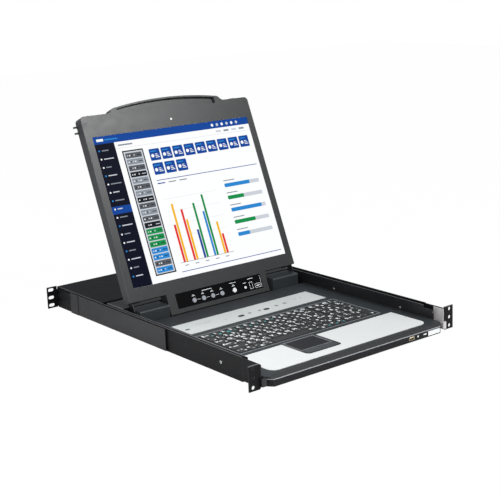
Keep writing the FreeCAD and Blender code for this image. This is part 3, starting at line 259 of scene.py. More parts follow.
ZINC = srgb(206, 203, 202)
ZINC_SHINE = 0.6
LACQUER_GRAIN, LACQUER_DEPTH = 3000.0, 0.05 * MM
FINISHES = {
    "chassis_steel": grained("chassis_coat", srgb(13, 13, 15), 0.5, wear_and_highlight=0.6, Specular_IOR_Level=0.13),
    "sleeve_steel": grained("sleeve_coat", srgb(24, 24, 26), 0.45, wear_and_highlight=0.5, Specular_IOR_Level=0.35),
    "zinc_steel": brushed("zinc_plate", ZINC, 1, 0.45, metallic=ZINC_SHINE),
    "hinge_steel": grained("hinge_black", srgb(18, 18, 20), 0.35, wear_and_highlight=0.3, Specular_IOR_Level=0.3),
    "shell_plastic": grained("shell_black", srgb(34, 35, 38), 0.42, wear_and_highlight=0.3, Specular_IOR_Level=0.4),
    "race_plastic": grained("nylon", srgb(205, 200, 180), 0.5),
    "tray_steel": grained("tray_coat", srgb(22, 22, 25), 0.45, wear_and_highlight=0.6, Specular_IOR_Level=0.4),
    "deck_plastic": grained("deck_grain", srgb(38, 42, 45), 0.5, grain=2200.0, wear_and_highlight=0.15),
    "bezel_plastic": grained("front_grain", srgb(14, 14, 17), 0.45, grain=2200.0, wear_and_highlight=0.8,
                             Specular_IOR_Level=0.2),
    "silver_plate": grained("silver_lacquer", srgb(216, 218, 217), 0.38, 0.03, LACQUER_GRAIN,
                            LACQUER_DEPTH, 0.2),
    "touch_film": grained("touch_film", srgb(24, 25, 28), 0.45, 0.05, 2600.0, Specular_IOR_Level=0.25),
    "click_plastic": grained("click_grain", srgb(58, 61, 64), 0.45, 0.05, 2600.0, wear_and_highlight=0.2),
    "key_plastic": grained("key_grain", srgb(38, 39, 40), 0.5, 0.08, 2600.0, wear_and_highlight=0.15),
    "base_plastic": grained("base_grain", srgb(14, 14, 16), 0.6, Specular_IOR_Level=0.3),
    "strip_rubber": grained("strip_rubber", srgb(22, 23, 25), 0.6),
    "lens_clear": plain("lens", srgb(225, 232, 228), 0.2),
    "port_metal": brushed("port_tin", srgb(206, 196, 168), 1, 0.28),
    "display_plastic": grained("display_grain", srgb(38, 40, 40), 0.38, 0.05, 2400.0, wear_and_highlight=0.1),
    "module_steel": brushed("module_sheet", srgb(170, 172, 174), 0),
    "screen": plain("screen_surface", srgb(244, 247, 250), 0.4),
    "osd_plastic": plain("osd_black", srgb(5, 5, 6), 0.25, Specular_IOR_Level=0.12),
    "knob_plastic": grained("knob_grey", srgb(150, 153, 160), 0.4, 0.04),
    "power_knob_plastic": grained("knob_white", srgb(226, 228, 230), 0.4, 0.03),
    "catch_plastic": brushed("catch_steel", srgb(96, 98, 100), 0, 0.35),
    "board_laminate": plain("solder_mask", srgb(24, 84, 44), 0.35),
    "socket_plastic": grained("socket_black", srgb(24, 24, 26), 0.5),
    "rocker_plastic": plain("rocker_black", srgb(20, 20, 22), 0.25),
}

PRINT_WHITE = plain("print_white", srgb(232, 236, 236), 0.5).material
PRINT_GREY = plain("print_grey", srgb(128, 132, 134), 0.5).material
PRINT_PALE = plain("print_pale", srgb(172, 176, 177), 0.5).material
# Dark print, and also the painted shade inside screw recesses.
DARK_PRINT_AND_RECESS_SHADE = plain("dark_print_and_recess_shade", srgb(40, 42, 45), 0.5).material
PRINT_TEAL = plain("print_teal", srgb(70, 168, 176), 0.5).material
SCREW = brushed("screw_nickel", srgb(176, 177, 174), 0, 0.28).material
SCREW_BLACK = brushed("screw_black", srgb(84, 85, 87), 0, 0.35).material

for part in frame["record"]["subparts"]:
    shape = NODES[part["node"]]
    shape.data.materials.clear()
    shape.data.materials.append(FINISHES[part["material_slot"]].material)

# The front end of the left slide's inner member and the latch plate beside it are painted near-black and not
# metallic, as painted shade; the right ones stay zinc. The rest of these two nodes is zinc.
LEVER_SHADE_END = 22.5 * MM
members = brushed("slide_member", ZINC, 1, 0.45, metallic=ZINC_SHINE)
lever_shade = members.both(members.beyond("Y", LEVER_SHADE_END, below=True), members.beyond("X", 0.0, below=True))
members.layer(lever_shade, srgb(16, 16, 18))
metal = members.node("ShaderNodeMapRange")
metal.inputs["To Min"].default_value = ZINC_SHINE
metal.inputs["To Max"].default_value = 0.0
members.link(lever_shade, metal.inputs["Value"])
members.link(metal.outputs["Result"], members.shader.inputs["Metallic"])
for node in ("slide_inners", "latch_plates"):
    NODES[node].data.materials[0] = members.material

# The strip is a shade darker than the palm rest, as painted shade for the display's shadow falling on it.
NODES["indicator_strip"].data.materials[0] = grained(
    "strip_lacquer", srgb(202, 206, 205), 0.4, 0.03, LACQUER_GRAIN, LACQUER_DEPTH, 0.2).material

# The deck's grey, lighter on the upward-facing slope as painted sheen, runs over the slope of the front
# bezel down to a bright line at its lower edge, which is a painted highlight.
SLOPE_FOOT = -8.4 * MM
HIGHLIGHT_BELOW, HIGHLIGHT_ABOVE = 0.4 * MM, 0.6 * MM
front = FINISHES["bezel_plastic"]
front.layer(front.beyond("Z", SLOPE_FOOT), srgb(44, 46, 48))
# Painted highlight: the bright line at the foot of the slope.
line = front.both(front.beyond("Z", SLOPE_FOOT - HIGHLIGHT_BELOW),
                  front.beyond("Z", SLOPE_FOOT + HIGHLIGHT_ABOVE, below=True))
front.layer(line, srgb(150, 152, 154))

# A painted highlight: a light grey band along the tops of the sheet-metal walls, where their top edges catch
# the light.
TOP_EDGE_HIGHLIGHT = 0.3 * MM
for slot_name, node, wall_depth in (("chassis_steel", "chassis_shell", 1.7 * MM),
                                    ("tray_steel", "drawer_tray", 3.0 * MM)):
    finish = FINISHES[slot_name]
    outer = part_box(node)[1]
    edge = finish.both(finish.beyond("Z", outer.z - TOP_EDGE_HIGHLIGHT),
                       finish.beyond("X", outer.x - wall_depth, both_sides=True))
    finish.layer(edge, srgb(96, 97, 99))


# ---------------------------------------------------------------- mesh helpers
SAME_POINT = 0.001 * MM


def piece(name, mesh, body, materials, place=FLAT):
    """A new object that rides a body and takes the given materials."""
    made = bpy.data.objects.new(name, mesh)
    bpy.context.scene.collection.objects.link(made)
    made.matrix_world = place
    for material in materials:
        mesh.materials.append(material)
    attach(made, body)
    return made


def corners_of(points):
    """The low and the high corner of some points."""
    low = Vector([min(point[axis] for point in points) for axis in range(3)])
    high = Vector([max(point[axis] for point in points) for axis in range(3)])
    return low, high


def box_mm(node, place=FLAT):
    """The low and high corner of a node in millimetres, along the axes of a place."""
    inward = place.inverted()
    return corners_of([(inward @ vert.co) / MM for vert in NODES[node].data.vertices])


def islands(node):
    """The box of each separate solid of a node, as (low corner, high corner), left to right."""
    work = bmesh.new()
    work.from_mesh(NODES[node].data)
    bmesh.ops.remove_doubles(work, verts=work.verts, dist=SAME_POINT)
    left = set(work.verts)
    boxes = []
    while left:
        group, edge = set(), [left.pop()]
        while edge:
            vert = edge.pop()
            group.add(vert)
            for link in vert.link_edges:
                other = link.other_vert(vert)
                if other in left:
                    left.discard(other)
                    edge.append(other)
        boxes.append(corners_of([vert.co for vert in group]))
    work.free()
    return sorted(boxes, key=lambda box: box[0].x)


def slab(work, x0, x1, y0, y1, z0, z1, material=0, bevel=0.0):
    """A box in the mesh being made. It is made by itself and then added, which keeps one order of faces."""
    box = bmesh.new()
    bmesh.ops.create_cube(box, size=1.0)
    middle = Vector(((x0 + x1) / 2, (y0 + y1) / 2, (z0 + z1) / 2))
    size = (x1 - x0, y1 - y0, z1 - z0)
    bmesh.ops.scale(box, vec=size, verts=box.verts)
    bmesh.ops.translate(box, vec=middle, verts=box.verts)
    for face in box.faces:
        face.material_index = material
    if bevel:
        bmesh.ops.bevel(box, geom=box.edges[:], offset=bevel, segments=2, affect="EDGES")
    mesh = finished(box, "slab")
    work.from_mesh(mesh)
    bpy.data.meshes.remove(mesh)


def finished(work, name, unit=1.0):
    """The finished mesh, brought from the unit that it was drawn in to metres."""
    bmesh.ops.scale(work, vec=(unit, unit, unit), verts=work.verts)
    mesh = bpy.data.meshes.new(name)
    work.to_mesh(mesh)
    work.free()
    return mesh


# ---------------------------------------------------------------- flat prints and small pieces
CORNER_STEPS = 5
SCREW_STEPS = 20
RECESS_LIFT = 0.02


def quad(work, x0, x1, z0, z1, depth, material=0):
    """A flat patch facing the front of its own frame, at a depth along Y."""
    corners = [work.verts.new((x, depth, z)) for x, z in ((x0, z0), (x1, z0), (x1, z1), (x0, z1))]
    work.faces.new(corners).material_index = material


def flat_quad(work, x0, x1, y0, y1, z, material=0):
    """A flat patch facing up."""
    corners = [work.verts.new((x, y, z)) for x, y in ((x0, y0), (x1, y0), (x1, y1), (x0, y1))]
    work.faces.new(corners).material_index = material


def rounded(work, x0, x1, z0, z1, radius, depth, material=0):
    """A flat patch with round corners."""
    points = []
    for centre_x, centre_z, first in ((x1 - radius, z1 - radius, 0), (x0 + radius, z1 - radius, 90),
                                      (x0 + radius, z0 + radius, 180), (x1 - radius, z0 + radius, 270)):
        for step in range(CORNER_STEPS + 1):
            angle = math.radians(first + 90 * step / CORNER_STEPS)
            points.append((centre_x + radius * math.cos(angle), depth, centre_z + radius * math.sin(angle)))
    face = work.faces.new([work.verts.new(point) for point in reversed(points)])
    face.material_index = material


def lathe(work, profile, steps, place, material=0):
    """Turn a (radius, height) profile about Z, set it in place and close its last ring."""
    rings = []
    for radius, height in profile:
        ring = [work.verts.new(place @ Vector((radius * math.cos(2 * math.pi * i / steps),
                                               radius * math.sin(2 * math.pi * i / steps), height)))
                for i in range(steps)]
        rings.append(ring)
    for low_ring, high_ring in zip(rings, rings[1:]):
        for i in range(steps):
            after = (i + 1) % steps
            face = work.faces.new((low_ring[i], low_ring[after], high_ring[after], high_ring[i]))
            face.material_index = material
            face.smooth = True
    cap = work.faces.new(rings[-1])
    cap.material_index = material


def cross_screw(work, spot, facing, radius, height, seat=0, recess_shade=1):
    """A pan head with a cross recess, standing out from spot along facing; lengths in millimetres. The
    recess is a flat dark cross on the head: painted shade.
    """
    turn = Vector((0, 0, 1)).rotation_difference(Vector(facing)).to_matrix().to_4x4()
    place = Matrix.Translation(Vector(spot)) @ turn
    profile = [(radius, 0), (radius, height * 0.45), (radius * 0.86, height * 0.8), (radius * 0.6, height)]
    lathe(work, profile, SCREW_STEPS, place, seat)
    arm, half = radius * 0.52, radius * 0.13
    for along, wide in ((arm, half), (half, arm)):
        corners = [place @ Vector((x, y, height + RECESS_LIFT)) for x, y in
                   ((-along, -wide), (along, -wide), (along, wide), (-along, wide))]
        work.faces.new([work.verts.new(corner) for corner in corners]).material_index = recess_shade


# ---------------------------------------------------------------- screen page
PLY = 0.02
PAGE_TO_GLASS = 0.05
PAGE_MARGIN_SIDE, PAGE_MARGIN_END = 0.05, 0.1
HEADER_FOOT, MENU_SIDE, COLUMN_FOOT = 335.5, -144.0, 78.0


def page():
    """A plain monitoring page: header, side menu, stack, tiles, columns and gauges, in millimetres."""
    work = bmesh.new()
    white, blue, navy, sky, green, red, amber, grey, pale, mid, ink = range(11)
    low, high = box_mm("screen_glass", DISPLAY)
    front = low.y - PAGE_TO_GLASS
    left, right_edge = low.x + PAGE_MARGIN_SIDE, high.x - PAGE_MARGIN_SIDE
    foot, top = low.z + PAGE_MARGIN_END, high.z - PAGE_MARGIN_END
    quad(work, left, right_edge, foot, top, front, white)
    front -= 0.03
    quad(work, left, right_edge, HEADER_FOOT, top, front, blue)
    quad(work, left, MENU_SIDE, foot, HEADER_FOOT, front, navy)
    quad(work, left, MENU_SIDE, 196.0, 211.0, front - PLY, blue)
    quad(work, MENU_SIDE, right_edge, 322.0, 322.6, front, pale)
    front -= 2 * PLY
    # header and menu
    for step in range(6):
        rounded(work, 92 + 12.5 * step, 98 + 12.5 * step, 339.6, 345.8, 2.9, front, (white, pale)[step % 2])
    quad(work, -181.0, -166.0, 340.5, 345.5, front, white)
    quad(work, -163.0, -134.0, 341.6, 344.2, front, sky)
    quad(work, -137.0, -104.0, 327.0, 330.0, front, grey)
    for step in range(4):
        quad(work, 100.0 + 20.0 * step, 113.0 + 20.0 * step, 326.5, 330.5, front, (pale, grey)[step % 2])
    lengths = (15, 22, 12, 19, 24, 14, 20, 11, 17, 23, 13, 18, 15, 21, 12, 16)
    for step, length in enumerate(lengths):
        height = 322.0 - 16.6 * step
        rounded(work, -182.5, -179.0, height - 1.7, height + 1.7, 1.6, front, white if step % 3 else sky)
        quad(work, -175.0, -175.0 + length, height - 1.0, height + 1.0, front, (grey, pale)[step % 2])
    # a stack of modules in a frame
    quad(work, -132.0, -84.0, 64.0, 316.0, front, ink)
    quad(work, -129.4, -86.6, 66.6, 313.4, front - PLY, pale)
    kinds = (mid, grey, mid, ink, grey, mid, grey, ink, mid, grey, mid, ink,
             green, green, green, sky, sky, mid, sky)
    for step, kind in enumerate(kinds):
        high = 310.4 - 12.85 * step
        rounded(work, -126.6, -89.4, high - 10.6, high, 1.6, front - 2 * PLY, kind)
        for dot in range(4):
            quad(work, -123.5 + 5.0 * dot, -120.9 + 5.0 * dot, high - 6.6, high - 4.2, front - 3 * PLY,
                 (pale, white, ink)[(dot + step) % 3])
        quad(work, -101.0, -92.0, high - 6.2, high - 4.8, front - 3 * PLY, (ink, pale)[kind == ink])
    # tiles
    for row, count in ((0, 9), (1, 3)):
        for step in range(count):
            x0, high = -72.0 + 28.0 * step, 312.0 - 29.0 * row
            rounded(work, x0, x0 + 24.5, high - 24.0, high, 2.0, front, blue)
            rounded(work, x0 + 3.0, x0 + 10.0, high - 17.5, high - 10.5, 3.4, front - PLY, white)
            for line in range(3):
                quad(work, x0 + 12.5, x0 + 18.0 + (line * 7 + step * 5) % 5, high - 12.0 - 3.2 * line,
                     high - 10.6 - 3.2 * line, front - PLY, white)
            quad(work, x0 + 3.0, x0 + 17.0, high - 6.0, high - 3.8, front - PLY, sky)
    quad(work, -72.0, 180.0, 247.0, 248.4, front, blue)
    for step in range(3):
        quad(work, -72.0 + 26.0 * step, -54.0 + 26.0 * step, 240.0, 242.2, front, (blue, grey, grey)[step])
    # grouped columns
    quad(work, -70.0, 62.0, COLUMN_FOOT, COLUMN_FOOT + 0.8, front, mid)
    for step in range(1, 6):
        height = COLUMN_FOOT + 26.0 * step
        quad(work, -70.0, 62.0, height, height + 0.4, front, pale)
    groups = ((red, 76, amber, 118), (red, 104, amber, 82), (blue, 58, green, 112), (sky, 92, green, 126),
              (amber, 66, red, 40))
    for step, (first, one, second, two) in enumerate(groups):
        x0, base = -62.0 + 25.0 * step, COLUMN_FOOT + 0.8
        quad(work, x0, x0 + 5.0, base, base + one, front - PLY, first)
        quad(work, x0 + 6.2, x0 + 11.2, base, base + two, front - PLY, second)
        quad(work, x0 + 1.0, x0 + 10.0, 71.0, 72.8, front, grey)
    # gauges
    gauges = ((0.72, sky), (0.46, green), (0.88, sky), (0.6, green), (0.34, sky))
    for step, (fill, kind) in enumerate(gauges):
        height = 214.0 - 26.0 * step
        quad(work, 84.0, 112.0, height + 9.0, height + 11.0, front, grey)
        rounded(work, 84.0, 174.0, height - 4.0, height + 4.0, 2.0, front, pale)
        rounded(work, 84.0, 84.0 + 90.0 * fill, height - 4.0, height + 4.0, 2.0, front - PLY, kind)
    quad(work, -72.0, 180.0, 60.0, 61.4, front, blue)
    return finished(work, "screen_page", MM)


LIT = [("page_white", (253, 254, 255), 1.0), ("page_blue", (12, 72, 160), 0.92),
       ("page_navy", (8, 16, 44), 0.5), ("page_sky", (42, 142, 220), 0.9),
       ("page_green", (18, 150, 78), 0.9), ("page_red", (232, 52, 44), 0.95),
       ("page_amber", (250, 188, 20), 0.95), ("page_grey", (150, 158, 168), 0.85),
       ("page_pale", (214, 220, 228), 0.9), ("page_mid", (98, 102, 108), 0.8),
       ("page_ink", (30, 34, 40), 0.7)]
piece("screen_page", page(), "display",
      [glowing(name, srgb(*colour), strength).material for name, colour, strength in LIT], DISPLAY)


# ---------------------------------------------------------------- display prints
PRINT_TO_PANEL = 0.06
PANEL_BUTTONS = ("osd_button_1", "osd_button_2", "osd_button_3", "osd_button_4", "display_power_button")


def display_prints():
    """Signs over the panel's buttons, joining lines, and two outlined boxes at its right, in millimetres."""
    work = bmesh.new()
    front = box_mm("osd_panel", DISPLAY)[0].y - PRINT_TO_PANEL
    for number, button in enumerate(PANEL_BUTTONS):
        low, high = box_mm(button, DISPLAY)
        x = round((low.x + high.x) / 2, 1)
        quad(work, x - 3.2, x + 3.2, 10.0, 11.1, front)
        quad(work, x - 1.6, x + 1.6, 12.4, 13.2, front)
        if number < 3:
            quad(work, x + 7.6, x + 15.0, 1.2, 1.8, front)
    quad(work, -40.0, -16.0, 16.0, 17.0, front)
    quad(work, 28.0, 45.0, 16.4, 17.2, front)
    quad(work, 61.0, 68.5, 10.0, 11.0, front)
    quad(work, 74.0, 88.0, 16.2, 17.2, front)
    for x0, x1, z0, z1 in ((76, 84, -4, 10), (89, 103.5, -4.5, 4.5)):
        for side in ((x0, x1, z0, z0 + 0.7), (x0, x1, z1 - 0.7, z1), (x0, x0 + 0.7, z0, z1),
                     (x1 - 0.7, x1, z0, z1)):
            quad(work, *side, front)
    quad(work, 92.0, 100.5, -0.8, 0.8, front)
    quad(work, 105.4, 106.0, -5.0, 19.0, front)
    return finished(work, "display_prints", MM)


piece("display_prints", display_prints(), "display", [PRINT_WHITE], DISPLAY)


def display_screws():
    """Small heads at the bezel's upper corners and larger ones on the back shell, in millimetres."""
    work = bmesh.new()
    face, outer = box_mm("display_bezel", DISPLAY)
    back_face = box_mm("display_shell", DISPLAY)[1].y
    for side in (-1, 1):
        cross_screw(work, (side * (outer.x - 9.5), face.y, 378.0), (0, -1, 0), 1.9, 0.5)
        for height in (60.0, 340.0):
            cross_screw(work, (side * (outer.x - 33.0), back_face, height), (0, 1, 0), 3.1, 1.2)
    return finished(work, "display_screws", MM)


piece("display_screws", display_screws(), "display", [SCREW_BLACK, DARK_PRINT_AND_RECESS_SHADE], DISPLAY)


# ---------------------------------------------------------------- key legends
LEGENDS = {
    "key_row_1": ["-", "=", "-", "-", "=", "-", "<", "v", ">", "0", ".", "+"],
    "key_row_2": list("^ZXCVBNM,./^^123"),
    "key_row_3": list("AASDFGHJKL;'<456+"),
    "key_row_4": list(">QWERTYUIOP[]/789-"),
    "key_row_5": list("`1234567890-=<#/*%"),
    "key_row_6": list("E123456789ABCD&$@!"),
}


def text_mesh(text, size, weight):
    """The outline of a short legend as flat faces, standing on the X axis."""
    curve = bpy.data.curves.new("legend", "FONT")
    curve.body = text
    curve.size = size
    curve.offset = weight
    curve.resolution_u = 2
    holder = bpy.data.objects.new("legend", curve)
    bpy.context.scene.collection.objects.link(holder)
    mesh = bpy.data.meshes.new_from_object(holder)
    bpy.data.objects.remove(holder)
    bpy.data.curves.remove(curve)
    return mesh


SECOND_MARKS = "+=*#%&@$?!"
NARROW_KEY = 20 * MM
SIGN_SIZE, SMALL_SIGN_SIZE = 11.5 * MM, 8.0 * MM
SIGN_WEIGHT = 0.36 * MM
SIGN_LIFT = 0.03 * MM
TOP_ROW, TOP_ROW_ACCENTS = "key_row_6", range(9)
LOW_ROW, LOW_ROW_ACCENTS = "key_row_1", range(6, 9)


def legends(node, body):
    """A large sign and a small one on each key; wide keys get short bars in place of words."""
    work = bmesh.new()
    for order, (text, (low, high)) in enumerate(zip(LEGENDS[node], islands(node))):
        lift = high.z + SIGN_LIFT
        second = SECOND_MARKS[(order * 3 + len(node + text)) % len(SECOND_MARKS)]
        accented = order in {TOP_ROW: TOP_ROW_ACCENTS, LOW_ROW: LOW_ROW_ACCENTS}.get(node, ())
        tone = 1 if accented else 2 * (order % 3 == 1)
        marks = [(text, SIGN_SIZE, low.x + 2.1 * MM, high.y - 10.3 * MM, 0),
                 (second, SMALL_SIGN_SIZE, high.x - 7.3 * MM, low.y + 2.4 * MM, tone)]
        if high.x - low.x > NARROW_KEY:
            for bar in range(3):
                x0 = low.x + (10.5 + 3.4 * bar) * MM
                if x0 < high.x - 10.0 * MM:
                    flat_quad(work, x0, x0 + 2.4 * MM, high.y - 8.6 * MM, high.y - 5.2 * MM, lift, 0)
        for sign, size, x, y, material in marks:
            glyph = text_mesh(sign, size, SIGN_WEIGHT)
            glyph.transform(Matrix.Translation((x, y, lift)))
            first = len(work.faces)
            work.from_mesh(glyph)
            work.faces.ensure_lookup_table()
            for face in work.faces[first:]:
                face.material_index = material
            bpy.data.meshes.remove(glyph)
    piece(f"{node}_legends", finished(work, f"{node}_legends"), body,
          [PRINT_WHITE, PRINT_TEAL, PRINT_GREY])


for number in range(1, 7):
    legends(f"key_row_{number}", f"keys_{number}")


# ---------------------------------------------------------------- deck prints
STRIP_LIFT = 0.04
BAR_PITCH, BAR_LENGTH, BAR_WIDTH = 5, 3.6, 1.7


def strip_marks():
    """Lamps beside the buttons, faint bars for words and a blank patch at the left, in millimetres."""
    work = bmesh.new()
    level = box_mm("indicator_strip")[1].z + STRIP_LIFT
    spots = ((-8, 289, 3.6, 1), (16, 289, 3.6, 1), (60, 291, 4.0, 1), (82, 292, 4.2, 1),
             (112, 296, 2.6, 2), (130, 300, 2.6, 2), (-66, 289, 2.2, 2))
    for x, y, radius, tone in spots:
        lathe(work, [(radius, 0.0), (radius, 0.03), (radius * 0.8, 0.05)], 18,
              Matrix.Translation((x, y, level)), tone)
    for first, last, y in ((-126, -90, 304.0), (-120, -86, 299.0), (-112, -96, 294.0), (100, 128, 306.0),
                           (-40, -22, 276)):
        for bar in range(int((last - first) / BAR_PITCH)):
            x = first + BAR_PITCH * bar
            flat_quad(work, x, x + BAR_LENGTH, y, y + BAR_WIDTH, level, 2)
    flat_quad(work, -158, -149, 287, 292.5, level, 0)
    return finished(work, "strip_marks", MM)


piece("strip_marks", strip_marks(), "drawer", [DARK_PRINT_AND_RECESS_SHADE, PRINT_GREY, PRINT_PALE])


RIM_WIDTH, RIM_SINK, RIM_RISE, RIM_ROUND = 1.6, 0.1, 0.6, 0.25
RIM_PAST_LEFT, RIM_PAST_RIGHT, RIM_INSIDE_FRONT, RIM_PAST_BACK = 0.5, 2.7, 0.2, 1.1


def key_frame():
    """The slim raised rim that frames the keyboard, in millimetres."""
    work = bmesh.new()
    low, high = box_mm("keyboard_base")
    deck = box_mm("deck_plate")[1].z
    x0, x1 = low.x - RIM_PAST_LEFT, high.x + RIM_PAST_RIGHT
    y0, y1 = low.y + RIM_INSIDE_FRONT, high.y + RIM_PAST_BACK
    inner_front, inner_back = y0 + RIM_WIDTH, y1 - RIM_WIDTH
    for a, b, c, d in ((x0, x1, y0, inner_front), (x0, x1, inner_back, y1),
                       (x0, x0 + RIM_WIDTH, inner_front, inner_back),
                       (x1 - RIM_WIDTH, x1, inner_front, inner_back)):
        slab(work, a, b, c, d, deck - RIM_SINK, deck + RIM_RISE, 0, RIM_ROUND)
    return finished(work, "key_frame", MM)


piece("key_frame", key_frame(), "drawer",
      [grained("rim_grey", srgb(112, 117, 120), 0.4, grain=2200.0, wear_and_highlight=0.1).material])


PAD_LINE, PAD_LIFT, PAD_DEPTH, PAD_ROUND = 0.9 * MM, 0.14 * MM, 1.2 * MM, 0.05 * MM


def pad_frame():
    """A thin light line round the touch surface, just above its bezel: the film's border, lightened as a
    painted highlight of its edges.
    """
    work = bmesh.new()
    low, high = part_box("touchpad_surface")
    top = max(high.z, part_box("touchpad_bezel")[1].z) + PAD_LIFT
    front, back = low.y - PAD_LINE, high.y + PAD_LINE
    for a, b, c, d in ((low.x, high.x, front, low.y), (low.x, high.x, high.y, back),
                       (low.x - PAD_LINE, low.x, front, back), (high.x, high.x + PAD_LINE, front, back)):
        slab(work, a, b, c, d, top - PAD_DEPTH, top, 0, PAD_ROUND)
    return finished(work, "pad_frame")


piece("pad_frame", pad_frame(), "drawer",
      [grained("pad_line", srgb(128, 131, 134), 0.4, grain=2200.0, wear_and_highlight=0.1).material])


LABEL_LIFT = 0.03


def front_prints():
    """A blank white label and a small mark beside it, on the front face, in millimetres."""
    work = bmesh.new()
    face = box_mm("front_bezel")[0].y - LABEL_LIFT
    rounded(work, 164.5, 195.5, -18.8, -10.4, 1.0, face, 0)
    quad(work, 152.5, 160.0, -14.6, -12.4, face, 0)
    return finished(work, "front_prints", MM)


piece("front_prints", front_prints(), "drawer", [PRINT_WHITE])


# ---------------------------------------------------------------- screws on the sheet metal
def wall_screws(wall, places, facing_out):
    """Heads on the left and right wall, at (y, height) places, facing out or in; in millimetres."""
    work = bmesh.new()
    for side in (-1, 1):
        for y, z in places:
            cross_screw(work, (side * wall, y, z), (side * facing_out, 0, 0), 3.0, 1.1)
    return finished(work, "wall_screws", MM)


piece("case_screws", wall_screws(box_mm("chassis_shell")[1].x, [(102.0, -2.0)], 1), "chassis",
      [SCREW, DARK_PRINT_AND_RECESS_SHADE])
# The deck reaches to the inner faces of the tray's walls.
piece("tray_screws", wall_screws(box_mm("deck_plate")[1].x, [(101.0, 1.0), (287.0, 1.0)], -1), "drawer",
      [SCREW, DARK_PRINT_AND_RECESS_SHADE])


def cover_screws():
    """Two rows of low heads on the lid, in millimetres."""
    work = bmesh.new()
    low, high = box_mm("top_cover")
    for x in (-190, -95, 0, 95, 190):
        for y in (low.y + 11.5, high.y - 10.0):
            cross_screw(work, (x, y, high.z), (0, 0, 1), 2.8, 0.3)
    return finished(work, "cover_screws", MM)


piece("cover_screws", cover_screws(), "chassis",
      [FINISHES["chassis_steel"].material, DARK_PRINT_AND_RECESS_SHADE])


# ---------------------------------------------------------------- connectors at the back
GOLD = brushed("contact_gold", srgb(214, 178, 104), 1, 0.25).material
BLACK_INSERT = FINISHES["socket_plastic"].material
PORT_LIP = 0.3 * MM
FACING_BACK = Matrix.Rotation(math.radians(-90), 4, "X")


def middle_of(low, high):
    """The middle of a box seen from behind, as x and height."""
    return (low.x + high.x) / 2, (low.z + high.z) / 2


def port_inserts():
    """The dark face of each video port, with three rows of pin sockets."""
    work = bmesh.new()
    for low, high in islands("video_ports"):
        x, z = middle_of(low, high)
        back = high.y - PORT_LIP
        wide, narrow, half = 8.1 * MM, 7.1 * MM, 3.72 * MM
        corners = [(-wide, half), (wide, half), (narrow, -half), (-narrow, -half)]
        front_ring = [work.verts.new((x + a, back, z + b)) for a, b in corners]
        rear_ring = [work.verts.new((x + a, back - 0.45 * MM, z + b)) for a, b in corners]
        work.faces.new(front_ring)
        for i in range(4):
            work.faces.new((rear_ring[i], rear_ring[(i + 1) % 4], front_ring[(i + 1) % 4], front_ring[i]))
        for row in (-1, 0, 1):
            for step in range(5):
                spot = Vector((x + (step - 2) * 2.3 * MM + row * 0.5 * MM, back, z + row * 1.95 * MM))
                lathe(work, [(0.62 * MM, 0.0), (0.62 * MM, 0.12 * MM), (0.3 * MM, 0.04 * MM)], 8,
                      Matrix.Translation(spot) @ FACING_BACK, 1)
    return finished(work, "port_inserts")


piece("port_inserts", port_inserts(), "chassis", [BLACK_INSERT, GOLD])


def port_standoffs():
    """Two hexagonal jack posts beside each video port."""
    work = bmesh.new()
    for low, high in islands("video_ports"):
        x, z = middle_of(low, high)
        for side in (-1, 1):
            spot = Vector((x + side * 12.5 * MM, high.y - 4.7 * MM, z))
            lathe(work, [(2.5 * MM, 0.0), (2.5 * MM, 4.0 * MM), (2.2 * MM, 4.4 * MM), (1.4 * MM, 4.4 * MM),
                         (1.25 * MM, 2.6 * MM)], 6, Matrix.Translation(spot) @ FACING_BACK, 0)
    return finished(work, "port_standoffs")


piece("port_standoffs", port_standoffs(), "chassis", [SCREW])


def jack_contacts():
    """Eight spring contacts in each network jack and its two lamps."""
    work = bmesh.new()
    for low, high in islands("network_jacks"):
        x, z = middle_of(low, high)
        for step in range(8):
            wire = x + (step - 3.5) * 1.05 * MM
            slab(work, wire - 0.2 * MM, wire + 0.2 * MM, high.y - 9.0 * MM, high.y - 2.5 * MM,
                 high.z - 3.2 * MM, high.z - 2.7 * MM, 0)
        for side, tone in ((-1, 1), (1, 2)):
            lamp = x + side * 4.6 * MM
            slab(work, lamp - 1.1 * MM, lamp + 1.1 * MM, high.y - 0.5 * MM, high.y + 0.15 * MM,
                 low.z + 0.15 * MM, low.z + 1.15 * MM, tone, 0.08 * MM)
    return finished(work, "jack_contacts")


piece("jack_contacts", jack_contacts(), "chassis",
      [GOLD, plain("lamp_green", srgb(70, 176, 92), 0.3).material,
       plain("lamp_amber", srgb(226, 160, 48), 0.3).material])


# ---------------------------------------------------------------- camera and light
# The camera looks from AZIMUTH and ELEVATION at AIM, turned by ROLL. Its lens, in millimetres, and its
# shifts, in widths of the picture, agree with the photograph's perspective.
AZIMUTH, ELEVATION, ROLL = math.radians(-38.67), math.radians(12.81), math.radians(-2.0)
DISTANCE = 2.8732
AIM = Vector((0.45762, 0.82422, 0.0))
SENSOR, LENS = 36.0, 82.11168
SHIFT_ACROSS, SHIFT_UP = -0.02406, -0.04204

back = Vector((math.sin(AZIMUTH) * math.cos(ELEVATION), -math.cos(AZIMUTH) * math.cos(ELEVATION),
               math.sin(ELEVATION)))
right = Vector((math.cos(AZIMUTH), math.sin(AZIMUTH), 0.0))
up = back.cross(right)
across = right * math.cos(ROLL) + up * math.sin(ROLL)
upright = up * math.cos(ROLL) - right * math.sin(ROLL)
camera_data = bpy.data.cameras.new("camera")
camera_data.sensor_width = SENSOR
camera_data.lens = LENS
camera_data.shift_x = SHIFT_ACROSS
camera_data.shift_y = SHIFT_UP
camera = bpy.data.objects.new("camera", camera_data)
camera.matrix_world = Matrix.Translation(AIM + back * DISTANCE) @ Matrix(
    (across, upright, back)).transposed().to_4x4()
bpy.context.scene.collection.objects.link(camera)
bpy.context.scene.camera = camera


MIDDLE = Vector((0.0, 0.32, 0.1))


